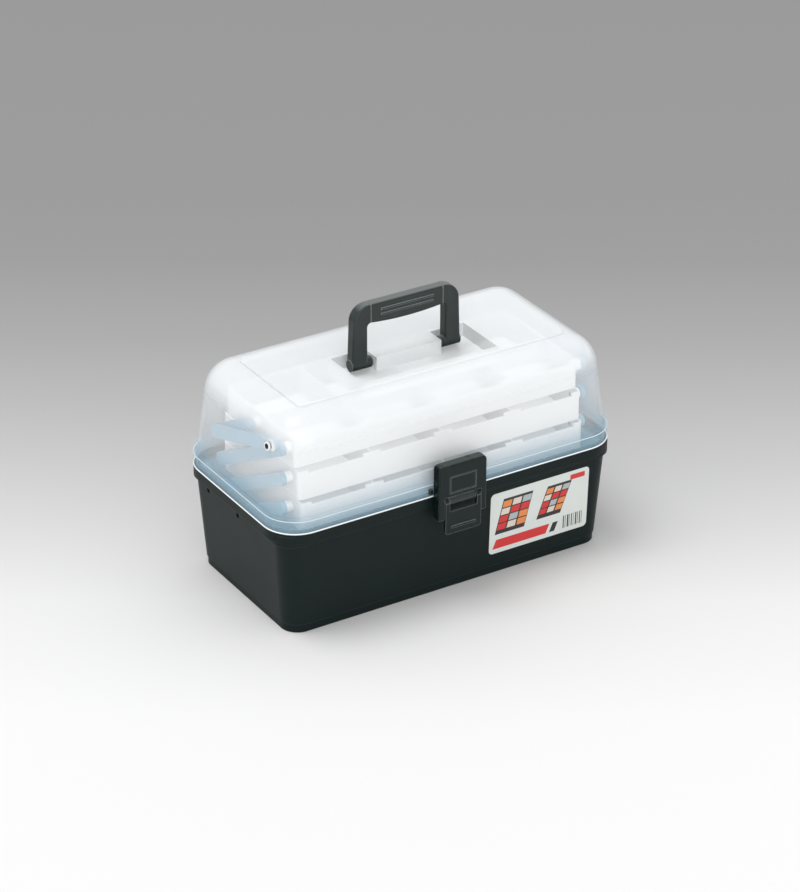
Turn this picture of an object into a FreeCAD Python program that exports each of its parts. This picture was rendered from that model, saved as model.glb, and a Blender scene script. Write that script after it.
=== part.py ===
"""Tackle box with a tub base, a clear domed lid and three cantilever trays.

The frame: X runs along the long side, -Y is the latch side, +Z is up, and the
origin is the middle of the underside. Lengths are in millimetres.
"""
import FreeCAD, Part
import math
import operator
import os
import Sketcher

os.makedirs("parts", exist_ok=True)
doc = FreeCAD.newDocument("tackle_box")

# Driving dimensions: each is a cell of the sheet, under its own name.
SIZES = {
    # base tub
    "rim_length": 380.0, "rim_depth": 195.0, "rim_height": 111.0, "rim_corner": 34.0,
    "body_corner": 19.0, "wall_lean_x": 7.1, "wall_lean_y": 3.9, "foot_inset": 1.2,
    "foot_height": 8.5, "lip_height": 10.5, "lip_inset": 5.6,
    "lip_plate": 2.6, "lip_round": 1.0, "bead_height": 3.2, "bead_proud": 2.4,
    "base_wall": 2.6, "floor_thickness": 3.0, "upstand_height": 3.0,
    "upstand_wall": 1.8, "upstand_gap": 0.5,
    # lid
    "lid_wall": 2.2, "flange_height": 17.0, "flange_step": 3.2, "flange_round": 1.4,
    "roof_room": 27.2, "roof_lean_x": 11.0, "roof_lean_y": 6.1, "dome_radius": 33.0,
    "plateau_inset_x": 27.5, "plateau_inset_front": 29.2, "plateau_inset_back": 32.8,
    "plateau_rise": 2.8, "plateau_corner": 6.0, "plateau_root": 3.0,
    "plateau_round": 1.0,
    # rear hinges
    "hinge_gap": 0.4, "hinge_lift": 1.0, "knuckle_radius": 3.6, "knuckle_length": 11.6,
    "knuckle_gap": 0.4, "hinge_inset": 85.0, "hinge_pin_radius": 1.5, "hinge_fit": 0.1,
    "hinge_web": 3.2,
    # carry handle
    "handle_axis_y": 3.0, "handle_span": 121.0, "leg_width": 17.2, "leg_lean": 2.4,
    "handle_thickness": 12.0, "handle_height": 61.4, "grip_height": 19.0,
    "grip_sag": 2.8, "bend_radius": 17.0, "crotch_radius": 4.0, "handle_edge": 2.4,
    "foot_gap": 1.8, "stub_radius": 6.0, "stub_length": 6.4, "stub_depth": 0.6,
    "stub_space": 0.7, "stub_dome": 1.6, "shaft_radius": 3.0, "shaft_fit": 0.1,
    "shaft_reach": 2.5, "grip_rib_length": 58.0,
    "grip_rib_width": 1.8, "grip_rib_proud": 0.7, "grip_rib_pitch": 5.4,
    "seam_half": 40.0, "seam_width": 0.9, "seam_cut": 0.6, "well_wall": 2.0,
    "well_side_room": 14.0, "well_rear_room": 6.0, "well_front_room": 48.0,
    "well_block_front": 9.5,
    # draw latch
    "latch_width": 53.8, "latch_proud": 12.0, "latch_below": 21.0, "latch_wall": 2.5,
    "latch_axis_out": 4.0, "latch_axis_lift": 12.0, "latch_head": 6.9,
    "latch_back_gap": 0.8, "latch_edge": 2.0, "latch_nape": 2.4, "latch_corner": 5.0,
    "pin_cover": 0.9, "window_rise": 2.0,
    "window_half": 20.4, "plate_half": 14.8, "plate_lift": 5.5, "plate_height": 18.0,
    "plate_recess": 0.8, "plate_border": 1.2, "latch_pin_radius": 1.5, "latch_fit": 0.1,
    "lug_radius": 3.2, "lug_inner": 12.0, "lug_width": 6.0, "lug_drop": 8.0,
    "lug_foot": 4.0, "ear_gap": 0.8, "ear_width": 3.4, "ear_proud": 3.0,
    "ear_lift": 4.5, "ear_height": 5.4, "lever_half": 19.8, "lever_proud": 1.1, "lever_thickness": 4.2,
    "lever_height": 24.0, "lever_window": 9.0, "lever_slot_half": 15.2,
    "lever_axis_in": 5.1, "lever_axis_drop": 4.0, "lever_eye_radius": 4.4,
    "lever_pin_radius": 2.6, "lever_corner": 3.0, "lever_rib_lift": 6.0,
    "lever_rib_half": 13.5, "lever_rib_width": 2.2, "lever_rib_proud": 0.8,
    "hook_half": 12.0, "hook_height": 4.0, "hook_gap": 0.4, "keeper_half": 13.0,
    "keeper_height": 12.5, "keeper_proud": 1.9, "keeper_clear": 1.0,
    # trays
    "tray_end_gap": 7.2, "tray_gap": 1.5, "tray_top_rise": 10.0, "tray_wall": 1.8,
    "tray_floor": 1.8, "tray_corner": 4.0, "front_room_low": 19.5,
    "back_room_low": 27.5, "front_room_mid": 24.0, "back_room_mid": 29.5,
    "front_room_top": 31.0, "back_room_top": 35.5, "cross_wall": 1.6,
    "notch_depth": 3.2, "notch_inset": 9.0, "divider_y": 4.0, "divider_thickness": 1.2,
    "divider_gap": 0.3, "divider_top": 3.0,
    # cantilever linkage
    "reach_room": 40.5, "arm_rise": 31.0, "base_pivot_y": 1.0, "pivot_below_rim": 20.0,
    "arm_radius": 6.6, "arm_thickness": 5.0, "arm_inset": 25.0, "arm_gap": 0.5,
    "arm_pin_radius": 2.5, "arm_pin_fit": 0.1, "open_pin_fit": 0.25,
    "pivot_boss_radius": 5.6, "pin_tip": 0.2, "link_gap": 1.0, "link_thickness": 3.6,
    "link_shift": 4.0, "link_lift": 4.5, "link_pin_radius": 3.0,
    "link_boss_radius": 5.0, "link_fit": 0.1, "bush_radius": 6.0,
    "bush_thickness": 1.0, "slot_depth": 1.4, "slot_half": 3.0, "slot_length": 30.0,
    "overrun": 1.0,
}


class Size:
    """A number together with the sheet expression that gives it."""

    def __init__(self, number, text):
        self.number, self.text = float(number), text

    def __float__(self):
        return self.number

    def __add__(self, other):
        return joined(self, "+", other)

    def __radd__(self, other):
        return joined(other, "+", self)

    def __sub__(self, other):
        return joined(self, "-", other)

    def __rsub__(self, other):
        return joined(other, "-", self)

    def __mul__(self, other):
        return joined(self, "*", other)

    def __rmul__(self, other):
        return joined(other, "*", self)

    def __truediv__(self, other):
        return joined(self, "/", other)

    def __neg__(self):
        return joined(0, "-", self)


SIGNS = {"+": operator.add, "-": operator.sub, "*": operator.mul, "/": operator.truediv}


def joined(first, sign, second):
    """Two sizes in one sum, as a number and as an expression."""
    texts = []
    for item in (first, second):
        texts.append(item.text if isinstance(item, Size) else repr(item))
    number = SIGNS[sign](float(first), float(second))
    return Size(number, "(%s %s %s)" % (texts[0], sign, texts[1]))


class Sheet:
    """The spreadsheet, read by name."""


sheet = doc.addObject("Spreadsheet::Sheet", "Sizes")
s = Sheet()
for row, (alias, number) in enumerate(SIZES.items(), start=1):
    sheet.set("A%d" % row, alias.replace("_", " "))
    sheet.set("B%d" % row, str(number))
    sheet.setAlias("B%d" % row, alias)
    setattr(s, alias, Size(number, "Sizes." + alias))
doc.recompute()
ZERO = Size(0, "0")


def bind(item, prop, size):
    """Tie a property to its expression in the sheet."""
    item.setExpression(prop, size.text if isinstance(size, Size) else repr(size))


# Sketches and features

def new_body(name):
    """A body, and its origin planes by role."""
    body = doc.addObject("PartDesign::Body", name)
    planes = {item.Role: item for item in body.Origin.OriginFeatures}
    return body, planes


def new_sketch(body, planes, name, role, level):
    """An empty sketch on one of the body's planes, at a level above it."""
    sketch = body.newObject("Sketcher::SketchObject", name)
    sketch.AttachmentSupport = [(planes[role], "")]
    sketch.MapMode = "FlatFace"
    bind(sketch, "AttachmentOffset.Base.z", level)
    return sketch


def pin_point(sketch, geometry, point, label, x, y):
    """Hold one point of a sketch at x, y from its origin."""
    for kind, axis, size in (("DistanceX", "x", x), ("DistanceY", "y", y)):
        index = sketch.addConstraint(
            Sketcher.Constraint(kind, -1, 1, geometry, point, float(size)))
        sketch.renameConstraint(index, "%s_%s" % (label, axis))
        bind(sketch, "Constraints.%s_%s" % (label, axis), size)


def hold_radius(sketch, geometry, label, size):
    """Give an arc or a circle its radius."""
    index = sketch.addConstraint(Sketcher.Constraint("Radius", geometry, float(size)))
    sketch.renameConstraint(index, label)
    bind(sketch, "Constraints." + label, size)


def arc_of(centre, radius, first, last):
    """A sketch arc about a centre, from one angle to the other in degrees."""
    circle = Part.Circle(centre, FreeCAD.Vector(0, 0, 1), radius)
    return Part.ArcOfCircle(circle, math.radians(first), math.radians(last))


def rounded_sketch(body, planes, name, right, left, back, front, corner, level):
    """A rectangle with round corners across the XY plane, given by its four sides."""
    sketch = new_sketch(body, planes, name, "XY_Plane", level)
    x1, x0, y1, y0, r = [float(v) for v in (right, left, back, front, corner)]
    point = FreeCAD.Vector
    sketch.addGeometry([
        Part.LineSegment(point(x0 + r, y0, 0), point(x1 - r, y0, 0)),
        Part.LineSegment(point(x1, y0 + r, 0), point(x1, y1 - r, 0)),
        Part.LineSegment(point(x1 - r, y1, 0), point(x0 + r, y1, 0)),
        Part.LineSegment(point(x0, y1 - r, 0), point(x0, y0 + r, 0)),
        arc_of(point(x1 - r, y0 + r, 0), r, 270, 360),
        arc_of(point(x1 - r, y1 - r, 0), r, 0, 90),
        arc_of(point(x0 + r, y1 - r, 0), r, 90, 180),
        arc_of(point(x0 + r, y0 + r, 0), r, 180, 270)], False)
    for line, arc in ((0, 4), (1, 5), (2, 6), (3, 7)):
        sketch.addConstraint(Sketcher.Constraint("Tangent", line, 2, arc, 1))
        sketch.addConstraint(Sketcher.Constraint("Tangent", arc, 2, (line + 1) % 4, 1))
        kind = "Vertical" if line % 2 else "Horizontal"
        sketch.addConstraint(Sketcher.Constraint(kind, line))
    for arc in (5, 6, 7):
        sketch.addConstraint(Sketcher.Constraint("Equal", 4, arc))
    hold_radius(sketch, 4, "corner", corner)
    pin_point(sketch, 4, 3, "front_right", right - corner, front + corner)
    pin_point(sketch, 6, 3, "back_left", left + corner, back - corner)
    return sketch


def centred_sketch(body, planes, name, length, depth, corner, level):
    """A rounded rectangle about the Z axis."""
    return rounded_sketch(body, planes, name, length / 2, -(length / 2), depth / 2,
                          -(depth / 2), corner, level)


def outline_sketch(body, planes, name, role, level, points):
    """A closed outline of straight lines through the given points."""
    sketch = new_sketch(body, planes, name, role, level)
    count = len(points)
    spots = [FreeCAD.Vector(float(x), float(y), 0) for x, y in points]
    for index in range(count):
        sketch.addGeometry(Part.LineSegment(spots[index], spots[(index + 1) % count]), False)
    for index in range(count):
        sketch.addConstraint(
            Sketcher.Constraint("Coincident", index, 2, (index + 1) % count, 1))
    for index, (x, y) in enumerate(points):
        pin_point(sketch, index, 1, "point%s" % chr(ord("a") + index), x, y)
    return sketch


def bar_sketch(body, planes, name, role, level, start, length, radius):
    """A bar with round ends that runs along the sketch's first axis."""
    sketch = new_sketch(body, planes, name, role, level)
    a, b, r = float(start), float(start + length), float(radius)
    point = FreeCAD.Vector
    sketch.addGeometry([
        Part.LineSegment(point(a, -r, 0), point(b, -r, 0)),
        arc_of(point(b, 0, 0), r, -90, 90),
        Part.LineSegment(point(b, r, 0), point(a, r, 0)),
        arc_of(point(a, 0, 0), r, 90, 270)], False)
    for index in range(4):
        sketch.addConstraint(
            Sketcher.Constraint("Tangent", index, 2, (index + 1) % 4, 1))
    sketch.addConstraint(Sketcher.Constraint("Equal", 1, 3))
    hold_radius(sketch, 1, "end", radius)
    pin_point(sketch, 3, 3, "near", start, ZERO)
    pin_point(sketch, 1, 3, "far", start + length, ZERO)
    return sketch


def pad(body, sketch, name, length, kind="PartDesign::Pad", reverse=False):
    """Raise, or cut with kind Pocket, a sketch by a length."""
    feature = body.newObject(kind, name)
    feature.Profile = sketch
    feature.Reversed = reverse
    bind(feature, "Length", length)
    sketch.Visibility = False
    return feature


def leaning_block(body, planes, name, low_size, high_size, low, high):
    """A block with four leaning walls between two levels; a size is (length, depth)."""
    block = body.newObject("PartDesign::AdditiveWedge", name)
    block.AttachmentSupport = [(planes["XZ_Plane"], "")]
    block.MapMode = "FlatFace"
    for prop, size in (("Xmin", -(low_size[0] / 2)), ("Xmax", low_size[0] / 2),
                       ("Zmin", -(low_size[1] / 2)), ("Zmax", low_size[1] / 2),
                       ("X2min", -(high_size[0] / 2)), ("X2max", high_size[0] / 2),
                       ("Z2min", -(high_size[1] / 2)), ("Z2max", high_size[1] / 2),
                       ("Ymin", low), ("Ymax", high)):
        setattr(block, prop, float(size))
        bind(block, prop, size)
    return block


def upright(edge):
    """Whether an edge climbs, as the corner edges of a leaning block do."""
    return edge.BoundBox.ZLength > float(s.overrun)


def flat_at(edge, level):
    """Whether an edge lies flat at a level."""
    box = edge.BoundBox
    slack = float(s.overrun) / 10
    return box.ZLength < slack and abs(box.ZMin - float(level)) < slack


def outermost(edge, length, depth):
    """Whether an edge reaches a rectangle's sides."""
    box = edge.BoundBox
    slack = float(s.overrun) / 10
    reach_x = max(abs(box.XMin), abs(box.XMax))
    reach_y = max(abs(box.YMin), abs(box.YMax))
    return (abs(reach_x - float(length) / 2) < slack
            or abs(reach_y - float(depth) / 2) < slack)


def fillet(body, base, name, radius, wanted, kind="PartDesign::Fillet"):
    """Round or chamfer the edges of a feature for which the test holds."""
    doc.recompute()
    names = []
    for index, edge in enumerate(base.Shape.Edges, start=1):
        if wanted(edge):
            names.append("Edge%d" % index)
    feature = body.newObject(kind, name)
    feature.Base = (base, names)
    bind(feature, "Radius" if kind.endswith("Fillet") else "Size", radius)
    return feature


# Plain solids and booleans

def block(name, x, y, z, length, depth, height):
    """A box from its lowest corner."""
    item = doc.addObject("Part::Box", name)
    for prop, size in (("Length", length), ("Width", depth), ("Height", height)):
        bind(item, prop, size)
    for axis, size in (("x", x), ("y", y), ("z", z)):
        bind(item, "Placement.Base." + axis, size)
    return item


TURNS = {"x": ((0, 1, 0), 90), "y": ((1, 0, 0), -90), "z": ((0, 0, 1), 0)}


def rod(name, axis, x, y, z, radius, length):
    """A cylinder that starts at a point and runs along +X, +Y or +Z."""
    item = doc.addObject("Part::Cylinder", name)
    direction, angle = TURNS[axis]
    item.Placement = FreeCAD.Placement(
        FreeCAD.Vector(), FreeCAD.Rotation(FreeCAD.Vector(*direction), angle))
    bind(item, "Radius", radius)
    bind(item, "Height", length)
    for letter, size in (("x", x), ("y", y), ("z", z)):
        bind(item, "Placement.Base." + letter, size)
    return item


def fused(name, *items):
    """One solid from several."""
    item = doc.addObject("Part::MultiFuse", name)
    item.Shapes = list(items)
    item.Refine = True
    return item


def group(name, *items):
    """Separate solids kept together in one node."""
    item = doc.addObject("Part::Compound", name)
    item.Links = list(items)
    return item


def cut(name, base, *tools):
    """The base without the tools."""
    item = doc.addObject("Part::Cut", name)
    item.Base = base
    item.Tool = tools[0] if len(tools) == 1 else fused(name + "_tools", *tools)
    item.Refine = True
    return item


def mirrored(name, item):
    """The same solid on the other side of the YZ plane."""
    copy = doc.addObject("Part::Mirroring", name)
    copy.Source = item
    copy.Normal = FreeCAD.Vector(1, 0, 0)
    return copy


NODES = []


def keep(name, item):
    """Name a finished piece of the box; its name is its file's name."""
    item.Label = name
    NODES.append(item)
    return item


# Shared places

lip_bottom = s.rim_height - s.lip_height
flange_top = s.rim_height + s.flange_height
body_length = s.rim_length - 2 * s.lip_inset
body_depth = s.rim_depth - 2 * s.lip_inset
foot_length = body_length - 2 * s.wall_lean_x
foot_depth = body_depth - 2 * s.wall_lean_y
wall_top = s.rim_height - s.lip_plate
hinge_y = s.rim_depth / 2 + s.knuckle_radius + s.hinge_gap
hinge_z = s.rim_height + s.hinge_lift
hinge_spread = s.rim_length / 2 - s.hinge_inset

arm_reach = s.rim_depth / 2 - s.reach_room
arm_plane = s.rim_length / 2 - s.arm_inset
arm_outer = arm_plane + s.arm_thickness
base_pivot_z = s.rim_height - s.pivot_below_rim
link_plane = arm_outer + s.link_gap
link_pivot_y = arm_reach + s.base_pivot_y - s.link_shift
link_pivot_z = base_pivot_z + 3 * s.arm_rise + s.link_lift
tray_length = 2 * (arm_plane - s.tray_end_gap)
tray_half = tray_length / 2
tray_height = s.arm_rise - s.tray_gap
tray_boss = s.tray_end_gap - s.arm_gap

roof_height = base_pivot_z + 3 * s.arm_rise + s.tray_top_rise + s.roof_room
roof_length = s.rim_length - 2 * (s.flange_step + s.roof_lean_x)
roof_depth = s.rim_depth - 2 * (s.flange_step + s.roof_lean_y)
plateau_z = roof_height + s.plateau_rise
handle_axis_z = plateau_z - s.stub_radius - s.stub_depth
handle_foot = handle_axis_z - s.handle_thickness / 2
handle_top = handle_axis_z + s.handle_height
well_block_half = s.handle_span / 2 - s.leg_width - s.stub_length - s.stub_space

latch_front = s.rim_depth / 2 + s.latch_proud
latch_axis_y = s.rim_depth / 2 + s.latch_axis_out
latch_axis_z = flange_top + s.latch_axis_lift
latch_bottom = s.rim_height - s.latch_below
lever_front = latch_front + s.lever_proud
lever_back = lever_front - s.lever_thickness
lever_axis_y = lever_front - s.lever_axis_in
lever_axis_z = s.rim_height - s.lever_axis_drop
lever_shoulder = lever_axis_z - s.lever_window
lever_bottom = lever_shoulder - s.lever_height
keeper_front = s.rim_depth / 2 + s.keeper_proud


def taper_at(foot, top, foot_level, top_level, level):
    """The size of a straight taper at a level between its two ends."""
    return foot + (top - foot) * (level - foot_level) / (top_level - foot_level)


def wall_at(level):
    """Half the tub's length at a level of its leaning walls."""
    return taper_at(foot_length / 2, body_length / 2, s.foot_height, wall_top, level)


def front_at(level):
    """Half the tub's depth at a level of its leaning walls."""
    return taper_at(foot_depth / 2, body_depth / 2, s.foot_height, wall_top, level)


def lid_wall_at(level):
    """Half the lid's length at a level of its leaning walls."""
    return taper_at(s.rim_length / 2 - s.flange_step, roof_length / 2, flange_top,
                    roof_height, level)


def lid_front_at(level):
    """Half the lid's depth at a level of its leaning walls."""
    return taper_at(s.rim_depth / 2 - s.flange_step, roof_depth / 2, flange_top,
                    roof_height, level)


# Base tub: a drafted tub with a stepped foot, a bead and a wide lip for the lid

def tub_outside():
    """The tub's outer form, without its hollow."""
    body, planes = new_body("tub_outside")
    walls = leaning_block(body, planes, "walls", (foot_length, foot_depth),
                          (body_length, body_depth), s.foot_height, wall_top)
    fillet(body, walls, "wall_corners", s.body_corner, upright)
    foot = centred_sketch(body, planes, "foot_outline", foot_length - 2 * s.foot_inset,
                          foot_depth - 2 * s.foot_inset, s.body_corner - s.foot_inset, ZERO)
    pad(body, foot, "foot", s.foot_height)
    bead = centred_sketch(body, planes, "bead_outline", body_length + 2 * s.bead_proud,
                          body_depth + 2 * s.bead_proud, s.body_corner + s.bead_proud,
                          lip_bottom - s.bead_height)
    pad(body, bead, "bead", s.bead_height + s.lip_height - s.lip_plate)
    lip = centred_sketch(body, planes, "lip_outline", s.rim_length, s.rim_depth,
                         s.rim_corner, lip_bottom)
    edge_pad = pad(body, lip, "lip", s.lip_height)

    def lip_edges(edge):
        return (outermost(edge, s.rim_length, s.rim_depth)
                and flat_at(edge, lip_bottom))

    fillet(body, edge_pad, "lip_round", s.lip_round, lip_edges)
    inset = 2 * (s.lid_wall + s.upstand_gap)
    stand = centred_sketch(body, planes, "upstand_outline", s.rim_length - inset,
                           s.rim_depth - inset, s.rim_corner - inset / 2, s.rim_height)
    pad(body, stand, "upstand", s.upstand_height)
    return body, inset


def base_tub():
    body, inset = tub_outside()
    thick = 2 * s.base_wall
    hollow, hollow_planes = new_body("tub_inside")
    space = leaning_block(
        hollow, hollow_planes, "tub_space",
        (2 * wall_at(s.floor_thickness) - thick, 2 * front_at(s.floor_thickness) - thick),
        (2 * wall_at(s.rim_height) - thick, 2 * front_at(s.rim_height) - thick),
        s.floor_thickness, s.rim_height)
    fillet(hollow, space, "space_corners", s.body_corner - s.base_wall, upright)
    ring = inset + 2 * s.upstand_wall
    mouth = centred_sketch(hollow, hollow_planes, "mouth_ring", s.rim_length - ring,
                           s.rim_depth - ring, s.rim_corner - ring / 2, s.rim_height)
    pad(hollow, mouth, "mouth", s.upstand_height + s.overrun)

    added = [cut("tub_open", body, hollow)]
    removed = []
    boss_start = arm_outer + s.arm_gap
    wall_x = wall_at(base_pivot_z)
    for side, label in ((1, "right"), (-1, "left")):
        for spot, where in ((ZERO, "mid"), (arm_reach, "rear")):
            y = spot - s.base_pivot_y
            depth = wall_x - boss_start - s.base_wall / 2
            x = boss_start if side > 0 else -boss_start - depth
            name = "base_boss_%s_%s" % (label, where)
            added.append(rod(name, "x", x, y, base_pivot_z, s.pivot_boss_radius, depth))
            length = wall_x - boss_start + 2 * s.overrun
            x = boss_start - s.overrun if side > 0 else -boss_start + s.overrun - length
            removed.append(rod(name + "_bore", "x", x, y, base_pivot_z,
                               s.arm_pin_radius + s.arm_pin_fit, length))
    knuckles, bores = hinge_knuckles("base", (-2, 0, 2),
                                     s.rim_height - s.hinge_web - s.hinge_lift,
                                     s.hinge_web)
    keep("base_tub", cut("base_tub_solid", fused("base_tub_whole", *(added + knuckles)),
                         *(removed + bores)))
    top = lip_bottom - s.keeper_clear
    bar = block("keeper_bar", -s.keeper_half, -keeper_front, top - s.keeper_height,
                2 * s.keeper_half, keeper_front - front_at(top) + s.lip_inset,
                s.keeper_height)
    keep("latch_keeper", cut("keeper_seated", bar, body))


def hinge_knuckles(owner, places, web_bottom, web_height):
    """Knuckles with their webs at some of the five places of both hinges, and the bores."""
    step = s.knuckle_length + s.knuckle_gap
    knuckles = []
    bores = []
    for side, label in ((1, "right"), (-1, "left")):
        for place in places:
            middle = side * hinge_spread + place * step
            x = middle - s.knuckle_length / 2
            name = "%s_knuckle_%s_%d" % (owner, label, place + 2)
            knuckles.append(rod(name, "x", x, hinge_y, hinge_z, s.knuckle_radius,
                                s.knuckle_length))
            knuckles.append(block(name + "_web", x, s.rim_depth / 2 - s.lid_wall / 2,
                                  web_bottom, s.knuckle_length,
                                  hinge_y - s.rim_depth / 2 + s.lid_wall / 2, web_height))
        bores.append(rod("%s_hinge_bore_%s" % (owner, label), "x",
                         side * hinge_spread - 3 * step, hinge_y, hinge_z,
                         s.hinge_pin_radius + s.hinge_fit, 6 * step))
    return knuckles, bores


def hinge_pins():
    length = 5 * s.knuckle_length + 4 * s.knuckle_gap
    for side, label in ((1, "right"), (-1, "left")):
        keep("hinge_pin_" + label,
             rod("hinge_rod_" + label, "x", side * hinge_spread - length / 2, hinge_y,
                 hinge_z, s.hinge_pin_radius, length))


# Lid: a clear dome with a wide flange, a round shoulder and a raised plateau

def dome(name, skin, flange_base):
    """The lid's form, drawn in by a skin thickness; skin zero is the outside."""
    body, planes = new_body(name)
    twice = 2 * skin
    low = flange_top - skin
    high = roof_height - skin
    walls = leaning_block(body, planes, name + "_walls",
                          (2 * lid_wall_at(low) - twice, 2 * lid_front_at(low) - twice),
                          (2 * lid_wall_at(high) - twice, 2 * lid_front_at(high) - twice),
                          low, high)

    def shoulders(edge):
        return upright(edge) or flat_at(edge, high)

    fillet(body, walls, name + "_shoulder", s.dome_radius - skin, shoulders)
    flange = centred_sketch(body, planes, name + "_flange_outline", s.rim_length - twice,
                            s.rim_depth - twice, s.rim_corner - skin, flange_base)
    brim = pad(body, flange, name + "_flange", low - flange_base)

    def brim_edges(edge):
        return flat_at(edge, low) and outermost(edge, s.rim_length, s.rim_depth)

    if skin is ZERO:
        fillet(body, brim, name + "_brim_round", s.flange_round, brim_edges)
    half = roof_length / 2 - s.plateau_inset_x - skin
    top = rounded_sketch(body, planes, name + "_plateau_outline", half, -half,
                         roof_depth / 2 - s.plateau_inset_back - skin,
                         skin + s.plateau_inset_front - roof_depth / 2,
                         s.plateau_corner - skin, roof_height - s.plateau_root)
    raised = pad(body, top, name + "_plateau", s.plateau_root + s.plateau_rise - skin)
    if skin is ZERO:
        fillet(body, raised, name + "_plateau_edge", s.plateau_round,
               lambda edge: flat_at(edge, plateau_z), "PartDesign::Chamfer")
    return body


def lid_shell():
    outside = dome("lid_outside", ZERO, s.rim_height)
    inside = dome("lid_inside", s.lid_wall, s.rim_height - s.overrun)
    added = [cut("lid_open", outside, inside)]
    removed = []
    wall, space, shaft_holes = handle_well()
    added.append(wall)
    removed += [space] + shaft_holes
    boss_start = link_plane + s.link_thickness + s.bush_thickness
    boss_depth = lid_wall_at(link_pivot_z) - boss_start - s.lid_wall / 2
    for side, label in ((1, "right"), (-1, "left")):
        x = boss_start if side > 0 else -boss_start - boss_depth
        added.append(rod("link_boss_" + label, "x", x, -link_pivot_y, link_pivot_z,
                         s.link_boss_radius, boss_depth))
        x = boss_start - s.overrun if side > 0 else -boss_start - boss_depth + s.overrun
        removed.append(rod("link_bore_" + label, "x", x, -link_pivot_y, link_pivot_z,
                           s.link_pin_radius, boss_depth))
    knuckles, bores = hinge_knuckles("lid", (-1, 1), hinge_z, s.hinge_web)
    added += knuckles
    removed += bores
    keep("lid_shell", cut("lid_solid", fused("lid_whole", *added), *removed))
    keep("latch_lugs", latch_lugs(outside))


def handle_well():
    """The sunk well that the handle folds into, with a block between its legs.

    Gives the solid that carries the well, the space to clear and the holes in the block.
    """
    half = s.handle_span / 2 + s.well_side_room
    floor = handle_foot - s.foot_gap
    rear = s.handle_thickness / 2 - s.handle_axis_y + s.well_rear_room
    front = s.handle_axis_y + s.well_front_room
    skin = s.well_wall
    wall = block("well_wall", -half - skin, -front - skin, floor - skin,
                 2 * (half + skin), front + rear + 2 * skin,
                 plateau_z - s.lid_wall / 2 - floor + skin)
    well = block("well", -half, -front, floor, 2 * half, front + rear,
                 plateau_z + s.overrun - floor)
    ahead = s.handle_axis_y + s.well_block_front
    island = block("well_block", -well_block_half, -ahead, floor - s.overrun,
                   2 * well_block_half, ahead + rear + s.overrun,
                   plateau_z - floor + 3 * s.overrun)
    space = cut("well_space", well, island)
    under = floor - skin - s.overrun
    holes = [block("well_block_hollow", skin - well_block_half, skin - ahead, under,
                   2 * (well_block_half - skin), ahead + rear - skin,
                   plateau_z - skin - under)]
    for side, label in ((1, "right"), (-1, "left")):
        start = well_block_half - skin - s.overrun
        length = skin + 2 * s.overrun
        holes.append(rod("shaft_hole_" + label, "x", start if side > 0 else -start - length,
                         -s.handle_axis_y, handle_axis_z, s.shaft_radius + s.shaft_fit,
                         length))
    return wall, space, holes


def latch_lugs(outside):
    """The two bent lugs on the lid's front that carry the latch's pin, and their stops."""
    parts = []
    room = s.flange_step + s.lid_wall
    for side, label in ((1, "right"), (-1, "left")):
        x = s.lug_inner if side > 0 else -s.lug_inner - s.lug_width
        eye = rod("lug_eye_" + label, "x", x, -latch_axis_y, latch_axis_z, s.lug_radius,
                  s.lug_width)
        neck = block("lug_neck_" + label, x, -latch_axis_y - s.lug_radius,
                     latch_axis_z - s.lug_drop, s.lug_width, 2 * s.lug_radius, s.lug_drop)
        foot = block("lug_foot_" + label, x, -latch_axis_y, latch_axis_z - s.lug_drop,
                     s.lug_width, s.latch_axis_out + room, s.lug_foot)
        bore = rod("lug_bore_" + label, "x", x - s.overrun, -latch_axis_y, latch_axis_z,
                   s.latch_pin_radius, s.lug_width + 2 * s.overrun)
        parts.append(cut("lug_" + label, fused("lug_whole_" + label, eye, neck, foot),
                         bore, outside))
        ear_x = s.latch_width / 2 + s.ear_gap
        x = ear_x if side > 0 else -ear_x - s.ear_width
        parts.append(block("latch_ear_" + label, x, -s.rim_depth / 2 - s.ear_proud,
                           s.rim_height + s.ear_lift, s.ear_width, s.ear_proud,
                           s.ear_height))
    return group("latch_carrier", *parts)


# Carry handle: a bail with feet that turn on two inward stubs

def bail_sketch(body, planes, level, half, top_half, inner, foot, under, top):
    """The bail's outline seen from the front, with a bowed underside to its grip."""
    corners = [(-half, foot), (-inner, foot), (-inner, under), (inner, under),
               (inner, foot), (half, foot), (top_half, top), (-top_half, top)]
    sketch = new_sketch(body, planes, "bail_outline", "XZ_Plane", level)
    spots = [FreeCAD.Vector(float(x), float(y), 0) for x, y in corners]
    count = len(spots)
    bowed = 2
    for index in range(count):
        start, end = spots[index], spots[(index + 1) % count]
        if index == bowed:
            low = FreeCAD.Vector(0, float(under - s.grip_sag), 0)
            sketch.addGeometry(Part.Arc(start, low, end), False)
        else:
            sketch.addGeometry(Part.LineSegment(start, end), False)
    radius = float((inner * inner + s.grip_sag * s.grip_sag) / (2 * s.grip_sag))
    for index in range(count):
        near = 2 if index != bowed else 2
        sketch.addConstraint(
            Sketcher.Constraint("Coincident", index, near, (index + 1) % count, 1))
    for index, (x, y) in enumerate(corners):
        pin_point(sketch, index, 1, "corner%s" % chr(ord("a") + index), x, y)
    hold_radius(sketch, bowed, "bow",
                Size(radius, ((inner * inner + s.grip_sag * s.grip_sag)
                              / (2 * s.grip_sag)).text))
    return sketch


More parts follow.
